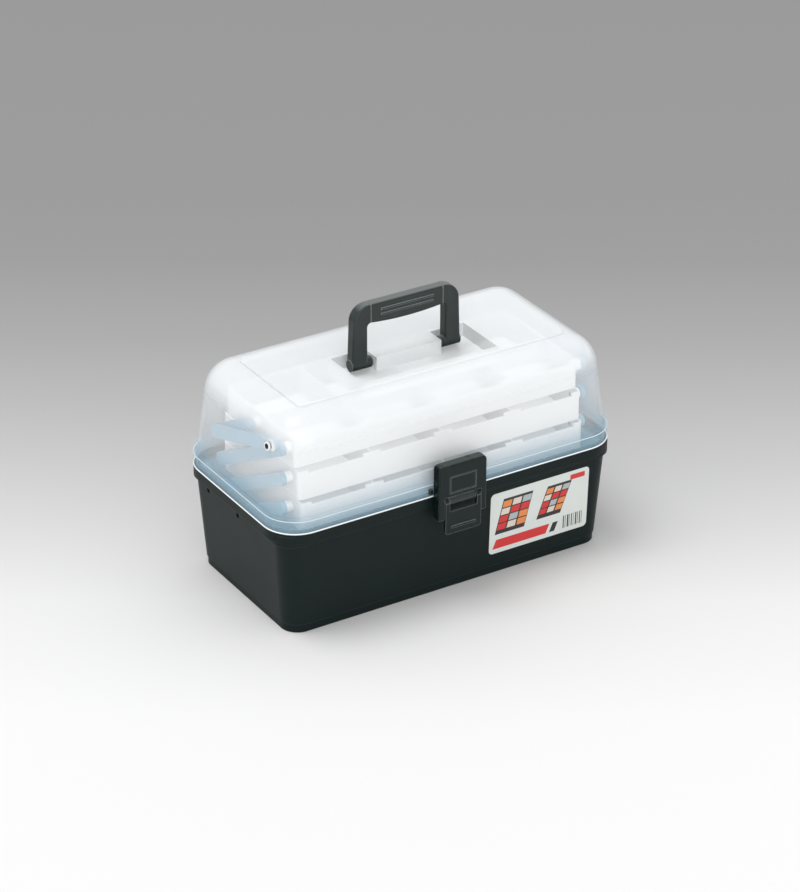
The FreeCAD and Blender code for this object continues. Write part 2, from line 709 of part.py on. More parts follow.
def handle_bail():
    body, planes = new_body("handle_form")
    half = s.handle_span / 2
    inner = half - s.leg_width
    under = handle_top - s.grip_height
    level = s.handle_axis_y - s.handle_thickness / 2
    outline = bail_sketch(body, planes, level, half, half - s.leg_lean, inner,
                          handle_foot, under, handle_top)
    bail = pad(body, outline, "bail", s.handle_thickness)
    slack = float(s.overrun) / 10

    def across(edge):
        box = edge.BoundBox
        return box.YLength > float(s.overrun) and box.XLength < slack

    def bends(edge):
        return across(edge) and edge.BoundBox.ZMin > float(handle_top) - float(s.overrun)

    def crotches(edge):
        box = edge.BoundBox
        return across(edge) and abs(box.ZMin - float(under)) < slack

    def rims(edge):
        box = edge.BoundBox
        return box.YLength < slack and box.ZMax > float(handle_foot) + float(s.overrun)

    round_top = fillet(body, bail, "bends", s.bend_radius, bends)
    crotch = fillet(body, round_top, "crotches", s.crotch_radius, crotches)
    fillet(body, crotch, "soft_edges", s.handle_edge, rims)
    added = []
    squares = []
    for side, label in ((1, "right"), (-1, "left")):
        x = inner if side > 0 else -half
        added.append(rod("foot_round_" + label, "x", x, -s.handle_axis_y,
                         handle_axis_z, s.handle_thickness / 2, s.leg_width))
        straight = s.stub_length - s.stub_dome
        x = inner - straight if side > 0 else -inner - s.handle_edge
        added.append(rod("stub_" + label, "x", x, -s.handle_axis_y, handle_axis_z,
                         s.stub_radius, straight + s.handle_edge))
        added.append(dome_end("stub_dome_" + label, side, inner - straight))
        start = well_block_half - s.well_wall - s.shaft_reach
        length = inner - straight - start
        added.append(rod("shaft_" + label, "x", start if side > 0 else -start - length,
                         -s.handle_axis_y, handle_axis_z, s.shaft_radius, length))
        x = inner - s.overrun if side > 0 else -half - s.overrun
        squares.append(block("foot_square_" + label, x,
                             -s.handle_axis_y - s.handle_thickness / 2 - s.overrun,
                             handle_foot - s.overrun, s.leg_width + 2 * s.overrun,
                             s.handle_thickness + 2 * s.overrun,
                             s.handle_thickness / 2 + s.overrun))
    legs = cut("bail_trimmed", body, *squares)
    front = s.handle_axis_y + s.handle_thickness / 2
    middle = handle_top - s.grip_height / 2
    for sign, label in ((1, "upper"), (-1, "lower")):
        z = middle + sign * s.grip_rib_pitch / 2 - s.grip_rib_width / 2
        added.append(block("grip_rib_" + label, -(s.grip_rib_length / 2),
                           -front - s.grip_rib_proud, z, s.grip_rib_length,
                           s.grip_rib_proud + s.seam_cut, s.grip_rib_width))
    whole = fused("bail_whole", legs, *added)
    keep("handle_bail", cut("bail_solid", whole, *seam_rings(under)))


def dome_end(name, side, start):
    """The blunt cone that ends a stub."""
    cone = doc.addObject("Part::Cone", name)
    cone.Placement = FreeCAD.Placement(
        FreeCAD.Vector(), FreeCAD.Rotation(FreeCAD.Vector(0, 1, 0), -90 * side))
    bind(cone, "Radius1", s.stub_radius)
    bind(cone, "Radius2", s.stub_radius - s.stub_dome)
    bind(cone, "Height", s.stub_dome)
    bind(cone, "Placement.Base.x", side * start)
    bind(cone, "Placement.Base.y", -s.handle_axis_y)
    bind(cone, "Placement.Base.z", handle_axis_z)
    return cone


def seam_rings(under):
    """The shallow grooves round the grip at both ends of its middle length."""
    rings = []
    low = under - s.grip_sag
    for side, label in ((1, "right"), (-1, "left")):
        x = side * s.seam_half - s.seam_width / 2
        outer = block("seam_outer_" + label, x,
                      -s.handle_axis_y - s.handle_thickness / 2 - s.overrun,
                      low - s.overrun, s.seam_width, s.handle_thickness + 2 * s.overrun,
                      handle_top - low + 2 * s.overrun)
        inner = block("seam_inner_" + label, x - s.overrun,
                      -s.handle_axis_y - s.handle_thickness / 2 + s.seam_cut,
                      low + s.seam_cut, s.seam_width + 2 * s.overrun,
                      s.handle_thickness - 2 * s.seam_cut,
                      handle_top - low - 2 * s.seam_cut)
        rings.append(cut("seam_ring_" + label, outer, inner))
    return rings


# Draw latch: a frame on the lid, and a lever pinned in the frame

def latch_frame():
    body, planes = new_body("latch_form")
    half = s.latch_width / 2
    top = latch_axis_z + s.latch_head
    rear = s.rim_depth / 2 + s.latch_back_gap
    profile = outline_sketch(body, planes, "latch_profile", "YZ_Plane", -half, [
        (-rear, latch_bottom), (-latch_front, latch_bottom), (-latch_front, top),
        (-rear, top)])
    slab = pad(body, profile, "latch_block", s.latch_width)

    slack = float(s.overrun) / 10

    def corners(edge):
        box = edge.BoundBox
        return box.XLength < slack and box.YLength > slack and box.ZMin > float(top) - slack

    def front_rim(edge):
        box = edge.BoundBox
        return box.YMax < slack - float(latch_front) and box.ZMax > float(latch_axis_z)

    def nape(edge):
        box = edge.BoundBox
        return box.YMin > -float(rear) - slack and box.ZMin > float(latch_axis_z)

    head = fillet(body, slab, "latch_corners", s.latch_corner, corners)
    brow = fillet(body, head, "latch_brow", s.latch_edge, front_rim)
    fillet(body, brow, "latch_nape", s.latch_nape, nape)
    inner = half - s.latch_wall
    removed = [
        block("latch_space", -inner, -latch_front + s.latch_wall,
              latch_bottom - s.overrun, 2 * inner,
              latch_front - s.latch_wall - rear + s.overrun,
              top - s.latch_wall - latch_bottom + s.overrun),
        block("latch_window", -s.window_half, -latch_front - s.overrun,
              latch_bottom - s.overrun, 2 * s.window_half, s.latch_wall + 2 * s.overrun,
              s.rim_height + s.window_rise - latch_bottom + s.overrun),
        plate_groove()]
    seat = half - s.pin_cover
    removed.append(rod("latch_hinge_bore", "x", -seat, -latch_axis_y, latch_axis_z,
                       s.latch_pin_radius + s.latch_fit, 2 * seat))
    removed.append(rod("lever_pin_bore", "x", -seat, -lever_axis_y, lever_axis_z,
                       s.lever_pin_radius, 2 * seat))
    keep("latch_frame", cut("latch_solid", body, *removed))
    end = seat - s.latch_fit
    keep("latch_hinge_pin", rod("latch_hinge_rod", "x", -end, -latch_axis_y,
                                latch_axis_z, s.latch_pin_radius, 2 * end))


def plate_groove():
    """The sunk frame line round the bare plate on the latch's front."""
    bottom = s.rim_height + s.plate_lift
    outer = block("plate_outer", -s.plate_half, -latch_front - s.overrun, bottom,
                  2 * s.plate_half, s.overrun + s.plate_recess, s.plate_height)
    inner = block("plate_inner", -s.plate_half + s.plate_border,
                  -latch_front - 2 * s.overrun, bottom + s.plate_border,
                  2 * (s.plate_half - s.plate_border),
                  3 * s.overrun + s.plate_recess, s.plate_height - 2 * s.plate_border)
    return cut("plate_line", outer, inner)


def latch_lever():
    body, planes = new_body("lever_form")
    outline = outline_sketch(body, planes, "lever_outline", "XZ_Plane", lever_back, [
        (-s.lever_half, lever_bottom), (s.lever_half, lever_bottom),
        (s.lever_half, lever_axis_z), (s.lever_slot_half, lever_axis_z),
        (s.lever_slot_half, lever_shoulder), (-s.lever_slot_half, lever_shoulder),
        (-s.lever_slot_half, lever_axis_z), (-s.lever_half, lever_axis_z)])
    plate = pad(body, outline, "lever_plate", s.lever_thickness)

    def toes(edge):
        box = edge.BoundBox
        slack = float(s.overrun) / 10
        return (box.YLength > slack and box.XLength < slack
                and box.ZMax < float(lever_bottom) + slack)

    fillet(body, plate, "lever_toes", s.lever_corner, toes)
    width = s.lever_half - s.lever_slot_half
    added = [body]
    for side, label in ((1, "right"), (-1, "left")):
        x = s.lever_slot_half if side > 0 else -s.lever_half
        added.append(rod("lever_eye_" + label, "x", x, -lever_axis_y, lever_axis_z,
                         s.lever_eye_radius, width))
    added.append(block("lever_hook", -s.hook_half, -lever_back - s.overrun,
                       lever_shoulder - s.hook_height, 2 * s.hook_half,
                       lever_back + s.overrun - keeper_front - s.hook_gap, s.hook_height))
    added.append(block("lever_rib", -s.lever_rib_half, -lever_front - s.lever_rib_proud,
                       lever_bottom + s.lever_rib_lift, 2 * s.lever_rib_half,
                       s.lever_rib_proud + s.overrun, s.lever_rib_width))
    bore = rod("lever_bore", "x", -s.lever_half - s.overrun, -lever_axis_y,
               lever_axis_z, s.lever_pin_radius + s.latch_fit,
               2 * (s.lever_half + s.overrun))
    keep("latch_lever", cut("lever_solid", fused("lever_whole", *added), bore))
    seat = s.latch_width / 2 - s.pin_cover
    keep("latch_lever_pin", rod("lever_rod", "x", -seat, -lever_axis_y, lever_axis_z,
                                s.lever_pin_radius, 2 * seat))


# Trays: four bays each, on pivots in their end walls

def tray(tier, name, front_room, back_room, fits):
    """One tray at its tier, with the bosses that its arms turn in.

    fits holds the clearance of each pin by its row: -1 front, 0 middle, 1 rear.
    """
    pivot_z = base_pivot_z + tier * s.arm_rise
    floor = pivot_z + s.tray_top_rise - tray_height
    front = s.rim_depth / 2 - front_room
    back = s.rim_depth / 2 - back_room
    body, planes = new_body(name + "_form")
    outer = rounded_sketch(body, planes, name + "_outline", tray_half, -tray_half, back,
                           -front, s.tray_corner, floor)
    pad(body, outer, name + "_block", tray_height)
    removed = []
    plates = []
    gap = s.divider_gap
    clear = bay_clear()
    for bay in range(4):
        left = bay * (clear + s.cross_wall) + s.tray_wall - tray_half
        removed.append(block("%s_bay_%d" % (name, bay), left, s.tray_wall - front,
                             floor + s.tray_floor, clear,
                             front + back - 2 * s.tray_wall,
                             tray_height - s.tray_floor + s.overrun))
        removed.append(block("%s_notch_%d" % (name, bay), left + s.notch_inset,
                             -front - s.overrun, floor + tray_height - s.notch_depth,
                             clear - 2 * s.notch_inset, s.tray_wall + 2 * s.overrun,
                             s.notch_depth + s.overrun))
        plates.append(block("%s_plate_%d" % (name, bay), left + gap,
                            -s.divider_y - s.divider_thickness / 2, floor + s.tray_floor,
                            clear - 2 * gap, s.divider_thickness,
                            tray_height - s.tray_floor - s.divider_top))
    bosses = []
    bores = []
    for side, label in ((1, "right"), (-1, "left")):
        for place, fit in fits.items():
            y = place * arm_reach - s.base_pivot_y
            x = tray_half if side > 0 else -tray_half - tray_boss
            spot = "%s_%s_%d" % (name, label, place + 1)
            bosses.append(rod(spot + "_boss", "x", x, y, pivot_z, s.pivot_boss_radius,
                              tray_boss))
            length = tray_boss + s.tray_wall + 2 * s.overrun
            x = tray_half - s.tray_wall - s.overrun
            x = x if side > 0 else -x - length
            bores.append(rod(spot + "_bore", "x", x, y, pivot_z,
                             s.arm_pin_radius + fit, length))
    whole = fused(name + "_whole", cut(name + "_open", body, *removed), *bosses)
    keep(name, cut(name + "_solid", whole, *bores))
    keep(name + "_dividers", group(name + "_plates", *plates))


def bay_clear():
    """The clear length of one of a tray's four bays."""
    return (tray_length - 2 * s.tray_wall - 3 * s.cross_wall) / 4


# Cantilever arms: flat bars with moulded pins; a long arm passes two tiers

def arm(name, tier, place, tiers, base_end):
    """The right and left arm of one kind.

    It starts at the pivot row place (0 is the middle row) of a tier, and passes as
    many tiers as it has steps. Its lowest pin points outwards when it is in the base.
    """
    angle = math.degrees(math.atan2(float(s.arm_rise), -float(arm_reach)))
    y = place * arm_reach - s.base_pivot_y
    z = base_pivot_z + tier * s.arm_rise
    span = math.hypot(float(arm_reach), float(s.arm_rise))
    body, planes = new_body(name + "_form")
    length = Size(tiers * span, "%d * sqrt(%s ^ 2 + %s ^ 2)"
                  % (tiers, arm_reach.text, s.arm_rise.text))
    outline = bar_sketch(body, planes, name + "_outline", "YZ_Plane", arm_plane, ZERO,
                         length, s.arm_radius)
    pad(body, outline, name + "_bar", s.arm_thickness)
    bind(body, "Placement.Base.y", y)
    bind(body, "Placement.Base.z", z)
    body.Placement.Rotation = FreeCAD.Rotation(FreeCAD.Vector(1, 0, 0), angle)
    pins = []
    inward = s.tray_end_gap + s.tray_wall + s.pin_tip
    for index in range(tiers + 1):
        pin_y = y - index * arm_reach
        pin_z = z + index * s.arm_rise
        if index == 0 and base_end:
            end = wall_at(base_pivot_z) - s.base_wall
            pins.append(rod("%s_pin_%d" % (name, index), "x", arm_outer, pin_y, pin_z,
                            s.arm_pin_radius, end - arm_outer))
        else:
            pins.append(rod("%s_pin_%d" % (name, index), "x", arm_plane - inward, pin_y,
                            pin_z, s.arm_pin_radius, inward))
    right = fused(name + "_right_solid", body, *pins)
    keep(name + "_right", right)
    keep(name + "_left", mirrored(name + "_left_solid", right))


def lid_link():
    """The outer link from each end wall of the lid down to the middle tray's rear pivot."""
    run = arm_reach - s.base_pivot_y + link_pivot_y
    drop = base_pivot_z + 2 * s.arm_rise - link_pivot_z
    length = Size(math.hypot(float(run), float(drop)),
                  "sqrt(%s ^ 2 + %s ^ 2)" % (run.text, drop.text))
    angle = math.degrees(math.atan2(float(drop), float(run)))
    body, planes = new_body("link_form")
    outline = bar_sketch(body, planes, "link_outline", "YZ_Plane", link_plane, ZERO,
                         length, s.arm_radius)
    pad(body, outline, "link_bar", s.link_thickness)
    slot = bar_sketch(body, planes, "link_slot_outline", "YZ_Plane",
                      link_plane + s.slot_depth, length - s.slot_length, s.slot_length,
                      s.slot_half)
    pad(body, slot, "link_slot", s.slot_depth + s.overrun, "PartDesign::Pocket", False)
    bind(body, "Placement.Base.y", -link_pivot_y)
    bind(body, "Placement.Base.z", link_pivot_z)
    body.Placement.Rotation = FreeCAD.Rotation(FreeCAD.Vector(1, 0, 0), angle)
    bore = rod("link_eye", "x", link_plane - s.overrun, -link_pivot_y, link_pivot_z,
               s.link_pin_radius + s.link_fit, s.link_thickness + 2 * s.overrun)
    right = cut("link_right_solid", body, bore)
    keep("lid_link_right", right)
    keep("lid_link_left", mirrored("link_left_solid", right))
    outer = link_plane + s.link_thickness
    disc = rod("bush_disc", "x", outer, -link_pivot_y, link_pivot_z, s.bush_radius,
               s.bush_thickness)
    hole = rod("bush_hole", "x", outer - s.overrun, -link_pivot_y, link_pivot_z,
               s.link_pin_radius, s.bush_thickness + 2 * s.overrun)
    bush = cut("bush_right", disc, hole)
    keep("link_bushes", group("bush_pair", bush, mirrored("bush_left", bush)))
    reach = lid_wall_at(link_pivot_z) - s.lid_wall / 2 - s.overrun - link_plane
    pin = rod("link_pin_right", "x", link_plane, -link_pivot_y, link_pivot_z,
              s.link_pin_radius, reach)
    keep("link_pins", group("link_pin_pair", pin, mirrored("link_pin_left", pin)))


base_tub()
hinge_pins()
lid_shell()
handle_bail()
latch_frame()
latch_lever()
through = {-1: s.arm_pin_fit, 0: s.open_pin_fit, 1: s.arm_pin_fit}
tray(1, "tray_bottom", s.front_room_low, s.back_room_low, through)
tray(2, "tray_middle", s.front_room_mid, s.back_room_mid, through)
tray(3, "tray_top", s.front_room_top, s.back_room_top,
     {-1: s.arm_pin_fit, 0: s.open_pin_fit})
arm("arm_low_short", 0, 0, 1, True)
arm("arm_low_long", 0, 1, 2, True)
arm("arm_high_long", 1, 1, 2, False)
arm("arm_high_short", 2, 1, 1, False)
lid_link()

doc.recompute()
for item in doc.Objects:
    bad = [state for state in item.State if state in ("Invalid", "Error")]
    if bad:
        raise RuntimeError("%s is %s" % (item.Label, bad[0]))
for item in NODES:
    shape = item.Shape
    if shape.isNull() or not shape.isValid() or not shape.Solids:
        raise RuntimeError("%s has no valid solid" % item.Label)
for item in NODES:
    shape = item.Shape
    shape.exportStep("parts/%s.step" % item.Label)
    box = shape.BoundBox
    print("%-24s %d solid %9.0f mm3  x %.1f..%.1f y %.1f..%.1f z %.1f..%.1f" % (
        item.Label, len(shape.Solids), shape.Volume, box.XMin, box.XMax, box.YMin,
        box.YMax, box.ZMin, box.ZMax))
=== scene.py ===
# %% [markdown]
# # A tackle box with a clear lid
# The box is a black moulded tub under a clear domed lid. Three milky trays ride on
# light blue swing arms inside, and show through the lid as soft pale shapes. The solids
# come ready made; this lesson gives them their finishes, adds the thin things that a
# mould or a printer leaves, paints highlights on dark edges and along the lid's foot, and
# sets up the floor, the light and the camera.

# %% Load the frame
import bpy
import bmesh
import math
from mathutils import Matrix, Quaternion, Vector


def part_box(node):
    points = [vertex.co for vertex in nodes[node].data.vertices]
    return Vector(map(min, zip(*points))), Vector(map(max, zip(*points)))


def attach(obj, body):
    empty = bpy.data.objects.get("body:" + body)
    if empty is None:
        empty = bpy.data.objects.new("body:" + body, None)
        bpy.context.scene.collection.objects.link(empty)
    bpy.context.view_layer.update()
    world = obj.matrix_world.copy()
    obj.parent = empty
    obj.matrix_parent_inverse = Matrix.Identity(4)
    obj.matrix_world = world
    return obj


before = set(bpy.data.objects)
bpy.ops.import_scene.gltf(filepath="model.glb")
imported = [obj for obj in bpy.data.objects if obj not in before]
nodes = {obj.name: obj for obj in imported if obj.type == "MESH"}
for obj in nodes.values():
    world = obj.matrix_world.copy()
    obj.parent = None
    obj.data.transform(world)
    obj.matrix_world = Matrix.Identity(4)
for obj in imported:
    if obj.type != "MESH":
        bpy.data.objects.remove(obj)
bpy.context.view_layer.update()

MM = 0.001

# %% [markdown]
# ## The sizes that the pieces share
# A dressed piece must sit on the solid that carries it, so its place comes from the box
# of that solid where a box shows it. The rim's level, its corners and the lean of the
# front wall show in no box, so they are repeated here from the solids.

# %% Shared sizes
lid_low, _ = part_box("lid_shell")
RIM_HALF = (-lid_low.x, -lid_low.y)
RIM_Z, RIM_CORNER = 111 * MM, 34 * MM
WALL_FOOT_Z, WALL_TOP_Z = 8.5 * MM, 108.4 * MM
WALL_FOOT_Y, WALL_TOP_Y = -88.0 * MM, -91.9 * MM


def front_wall_y(z):
    """How far forward the tub's leaning front wall stands at a height."""
    share = (z - WALL_FOOT_Z) / (WALL_TOP_Z - WALL_FOOT_Z)
    return WALL_FOOT_Y + (WALL_TOP_Y - WALL_FOOT_Y) * share


def middle_of(node):
    """The middle of a solid's box."""
    low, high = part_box(node)
    return (low + high) / 2


print("the rim's half sizes are", [round(half * 1000, 1) for half in RIM_HALF], "mm")
print("the front wall leans", round((WALL_FOOT_Y - WALL_TOP_Y) * 1000, 1), "mm")

# %% [markdown]
# ## Helpers for node trees
# A material and a Geometry Nodes tree are both a list of nodes and links. Three small
# helpers keep the cells below short: one adds a node and sets its plain values, one
# joins two sockets by name, and one starts a node group with named sockets.

# %% Node helpers
def add_node(tree, kind, place=(0, 0), **values):
    """Adds a node; each value sets an input of that name, or a property."""
    node = tree.nodes.new(kind)
    node.location = place
    for name, value in values.items():
        label = name.replace("_", " ")
        if label in node.inputs:
            node.inputs[label].default_value = value
        elif hasattr(node, name):
            setattr(node, name, value)
        else:
            raise KeyError("%s has no %s" % (kind, name))
    return node


def join(tree, source, output, target, name):
    """Links an output of one node to an input of another."""
    tree.links.new(source.outputs[output], target.inputs[name])


def new_group(name, inputs, outputs):
    """A shader node group with named sockets; an input is (name, kind, start value)."""
    group = bpy.data.node_groups.new(name, "ShaderNodeTree")
    for label, kind, start in inputs:
        socket = group.interface.new_socket(label, in_out="INPUT", socket_type=kind)
        socket.default_value = start
    for label, kind in outputs:
        group.interface.new_socket(label, in_out="OUTPUT", socket_type=kind)
    entry = add_node(group, "NodeGroupInput", (-900, 0))
    leave = add_node(group, "NodeGroupOutput", (500, 0))
    return group, entry, leave


print("helpers ready:", ", ".join(tool.__name__ for tool in (add_node, join, new_group)))

# %% [markdown]
# ## Moulded skin
# Injection moulded plastic is never one even colour. The polish of the mould varies,
# the melt leaves faint clouds, and handling leaves a soft bloom. One group gives all of
# that: it takes a colour and puts out a colour, a roughness and a fine height, and every
# plastic of the box uses it with its own values.

# %% The moulded skin group
FLOAT, COLOR = "NodeSocketFloat", "NodeSocketColor"
NOISE_MIDDLE = 0.5


def build_moulded_skin():
    """Two noises: a slow one for clouds and polish, a fine one for the grain."""
    group, entry, leave = new_group(
        "moulded_skin",
        [("Color", COLOR, (0.5, 0.5, 0.5, 1)), ("Cloud", FLOAT, 0.1),
         ("Roughness", FLOAT, 0.35), ("Roughness Spread", FLOAT, 0.08),
         ("Cloud Scale", FLOAT, 40.0), ("Grain Scale", FLOAT, 2500.0)],
        [("Color", COLOR), ("Roughness", FLOAT), ("Height", FLOAT)])
    place = add_node(group, "ShaderNodeTexCoord", (-900, -300))
    cloud = add_node(group, "ShaderNodeTexNoise", (-650, 150), Detail=4.0)
    grain = add_node(group, "ShaderNodeTexNoise", (-650, -350), Detail=2.0)
    join(group, place, "Object", cloud, "Vector")
    join(group, place, "Object", grain, "Vector")
    join(group, entry, "Cloud Scale", cloud, "Scale")
    join(group, entry, "Grain Scale", grain, "Scale")
    swing = add_node(group, "ShaderNodeMath", (-450, 150), operation="SUBTRACT")
    swing.inputs[1].default_value = NOISE_MIDDLE
    join(group, cloud, "Fac", swing, 0)
    amount = add_node(group, "ShaderNodeMath", (-300, 150), operation="MULTIPLY_ADD")
    amount.inputs[2].default_value = 1.0
    join(group, swing, 0, amount, 0)
    join(group, entry, "Cloud", amount, 1)
    tint = add_node(group, "ShaderNodeVectorMath", (-100, 200), operation="SCALE")
    join(group, entry, "Color", tint, 0)
    join(group, amount, 0, tint, "Scale")
    join(group, tint, "Vector", leave, "Color")
    rough = add_node(group, "ShaderNodeMath", (-100, 0), operation="MULTIPLY_ADD")
    join(group, swing, 0, rough, 0)
    join(group, entry, "Roughness Spread", rough, 1)
    join(group, entry, "Roughness", rough, 2)
    join(group, rough, 0, leave, "Roughness")
    join(group, grain, "Fac", leave, "Height")
    return group


MOULDED_SKIN = build_moulded_skin()
print("group", MOULDED_SKIN.name, "made")

# %% [markdown]
# ## Painted edge highlights
# The edges of the black plastics catch the light in thin bright lines, and here those
# lines are painted: a lighter colour near each edge. A Bevel node knows where an edge is
# near: its rounded normal then differs from the face's own. One group turns that
# difference into a mask for every dark plastic.

# %% The painted edge highlight group
ON_THE_FLAT, ON_THE_EDGE = 0.995, 0.9     # how well the two normals agree


def build_painted_edge_highlight():
    """A mask that is 1 where the rounded normal turns away from the face's own."""
    group, entry, leave = new_group("painted_edge_highlight", [("Reach", FLOAT, 0.8 * MM)],
                                    [("Edge", FLOAT)])
    face = add_node(group, "ShaderNodeNewGeometry", (-700, 0))
    rounded = add_node(group, "ShaderNodeBevel", (-700, -300), samples=6)
    join(group, entry, "Reach", rounded, "Radius")
    match = add_node(group, "ShaderNodeVectorMath", (-450, 0), operation="DOT_PRODUCT")
    join(group, face, "Normal", match, 0)
    join(group, rounded, "Normal", match, 1)
    mask = add_node(group, "ShaderNodeMapRange", (-200, 0))
    mask.inputs["From Min"].default_value = ON_THE_FLAT
    mask.inputs["From Max"].default_value = ON_THE_EDGE
    join(group, match, "Value", mask, "Value")
    join(group, mask, "Result", leave, "Edge")
    return group


PAINTED_EDGE_HIGHLIGHT = build_painted_edge_highlight()
print("group", PAINTED_EDGE_HIGHLIGHT.name, "made")

# %% [markdown]
# ## Plastics
# Each plastic is one Principled shader fed by the group. The fine height goes through a
# Bump node, because a real grain of a few hundredths of a millimetre would need millions
# of faces. A Bevel node first rounds the edges that the light should catch.

# %% A maker of plastics
PLASTIC_IOR, GRAIN_HEIGHT, ROUGHNESS_SPREAD = 1.49, 0.05 * MM, 0.1


def plastic(name, colour, roughness, cloud=0.12, grain=0.15, grain_scale=2500.0,
            soften=0.5, mirror=0.5):
    """A material, its shader and its skin node; soften rounds its edges, in mm."""
    material = bpy.data.materials.new(name)
    material.use_nodes = True
    tree = material.node_tree
    tree.nodes.clear()
    end = add_node(tree, "ShaderNodeOutputMaterial", (400, 0))
    shader = add_node(tree, "ShaderNodeBsdfPrincipled", (100, 0), IOR=PLASTIC_IOR)
    shader.inputs["Specular IOR Level"].default_value = mirror
    skin = add_node(tree, "ShaderNodeGroup", (-400, 0))
    skin.node_tree = MOULDED_SKIN
    skin.inputs["Color"].default_value = (*colour, 1)
    skin.inputs["Roughness"].default_value = roughness
    skin.inputs["Roughness Spread"].default_value = ROUGHNESS_SPREAD
    skin.inputs["Cloud"].default_value = cloud
    skin.inputs["Grain Scale"].default_value = grain_scale
    bump = add_node(tree, "ShaderNodeBump", (-150, -300), Strength=grain,
                    Distance=GRAIN_HEIGHT)
    join(tree, skin, "Color", shader, "Base Color")
    join(tree, skin, "Roughness", shader, "Roughness")
    join(tree, skin, "Height", bump, "Height")
    if soften:
        edge = add_node(tree, "ShaderNodeBevel", (-400, -450), samples=4,
                        Radius=soften * MM)
        join(tree, edge, "Normal", bump, "Normal")
    join(tree, bump, "Normal", shader, "Normal")
    join(tree, shader, "BSDF", end, "Surface")
    return material, shader, skin


print("plastics have an IOR of", PLASTIC_IOR)

# %% [markdown]
# A dark plastic is the same shader with two masks in front of its colour: one for a
# painted highlight along its edges, and one for painted light on the faces that look up.
# The second goes by the object's own normal, so the painted light stays on the same faces
# when a part swings.

# %% A maker of dark plastics
LIT_TOP_FROM, LIT_TOP_TO = 0.72, 0.98           # how far up a face looks that takes painted light from above


def mixed_colour(tree, mask, low, high, place):
    """A colour between two others, each a socket or a plain colour."""
    blend = add_node(tree, "ShaderNodeMix", place, data_type="RGBA")
    tree.links.new(mask, blend.inputs[0])
    for side, value in (("A", low), ("B", high)):
        if isinstance(value, tuple):
            blend.inputs[side].default_value = (*value, 1)
        else:
            tree.links.new(value, blend.inputs[side])
    return blend.outputs[2]


def facing_up(tree, place):
    """A mask of the faces that look up while the object is shut."""
    face = add_node(tree, "ShaderNodeTexCoord", (place[0] - 400, place[1]))
    split = add_node(tree, "ShaderNodeSeparateXYZ", (place[0] - 200, place[1]))
    join(tree, face, "Normal", split, "Vector")
    mask = add_node(tree, "ShaderNodeMapRange", place)
    mask.inputs["From Min"].default_value = LIT_TOP_FROM
    mask.inputs["From Max"].default_value = LIT_TOP_TO
    join(tree, split, "Z", mask, "Value")
    return mask.outputs["Result"]


def edge_highlighted(name, colour, roughness, painted_highlight, reach, top=None, **more):
    """A dark plastic with a painted highlight near its edges, in mm of reach, and on top if
    given.
    """
    material, shader, skin = plastic(name, colour, roughness, **more)
    tree = material.node_tree
    edge = add_node(tree, "ShaderNodeGroup", (-400, 300))
    edge.node_tree = PAINTED_EDGE_HIGHLIGHT
    edge.inputs["Reach"].default_value = reach * MM
    even = skin.outputs["Color"]
    # Faces that look up are painted lighter, as if lit from above.
    if top:
        even = mixed_colour(tree, facing_up(tree, (-400, 550)), even, top, (-200, 450))
    # The lighter colour near the edges is a painted highlight.
    with_highlight = mixed_colour(tree, edge.outputs["Edge"], even, painted_highlight, (-60, 250))
    tree.links.new(with_highlight, shader.inputs["Base Color"])
    return material


# The painted light on the top faces starts at this slope.
lit_top_slope = math.degrees(math.acos(LIT_TOP_FROM))
print("wear from above starts at a slope of", round(lit_top_slope), "degrees")

# %% [markdown]
# The box takes six of these plastics. The blacks differ in how bright their painted edge
# highlights are: brightest on the grip and faintest on the tub. The grip and the latch are
# also painted lighter on their top faces. The arms' blue, the washers' white and the pins'
# black are plain.

# %% The plastics of the box
tub_black = edge_highlighted("tub_black", (0.006, 0.013, 0.012), 0.4, cloud=0.3, grain=0.3,
                   mirror=0.14, reach=0.8, painted_highlight=(0.04, 0.055, 0.052))
grip_black = edge_highlighted("grip_black", (0.012, 0.021, 0.019), 0.3, cloud=0.3, grain=0.35,
                    grain_scale=1800.0, reach=0.6, painted_highlight=(0.34, 0.39, 0.38),
                    top=(0.12, 0.14, 0.135))
latch_black = edge_highlighted("latch_black", (0.004, 0.01, 0.01), 0.28, cloud=0.3, mirror=0.25,
                     reach=0.7, painted_highlight=(0.2, 0.24, 0.235), top=(0.05, 0.065, 0.063))
arm_blue, _, _ = plastic("arm_blue", (0.17, 0.39, 0.54), 0.4, cloud=0.15)
bush_white, _, _ = plastic("bush_white", (0.86, 0.89, 0.9), 0.35)
pin_black, _, _ = plastic("pin_black", (0.006, 0.006, 0.007), 0.4, mirror=0.15)
print(len(bpy.data.materials), "materials so far")

# %% [markdown]
# ## The clear lid
# The lid is a thin milky polypropylene. It isn't glass: it scatters the light forward, so
# the arms close behind it stay clear, while whatever is further in fades into white. A
# shader that bends light would be slow and too clear, so the wall is a white skin with a
# low Alpha. Three things raise that Alpha: a wall seen edge on, the thicker roof, and a
# second wall behind the first, counted by Light Path's Transparent Depth. Rays that only
# carry light pass almost freely, because a milky wall lets most of the light through.

# %% Masks by height and by the walls passed
def by_height(tree, low, high, place):
    """A mask that climbs from 0 to 1 between two heights on the piece itself."""
    coords = add_node(tree, "ShaderNodeTexCoord", (place[0] - 400, place[1]))
    split = add_node(tree, "ShaderNodeSeparateXYZ", (place[0] - 200, place[1]))
    join(tree, coords, "Object", split, "Vector")
    ramp = add_node(tree, "ShaderNodeMapRange", place)
    ramp.interpolation_type = "SMOOTHSTEP"
    ramp.inputs["From Min"].default_value = low
    ramp.inputs["From Max"].default_value = high
    join(tree, split, "Z", ramp, "Value")
    return ramp.outputs["Result"]


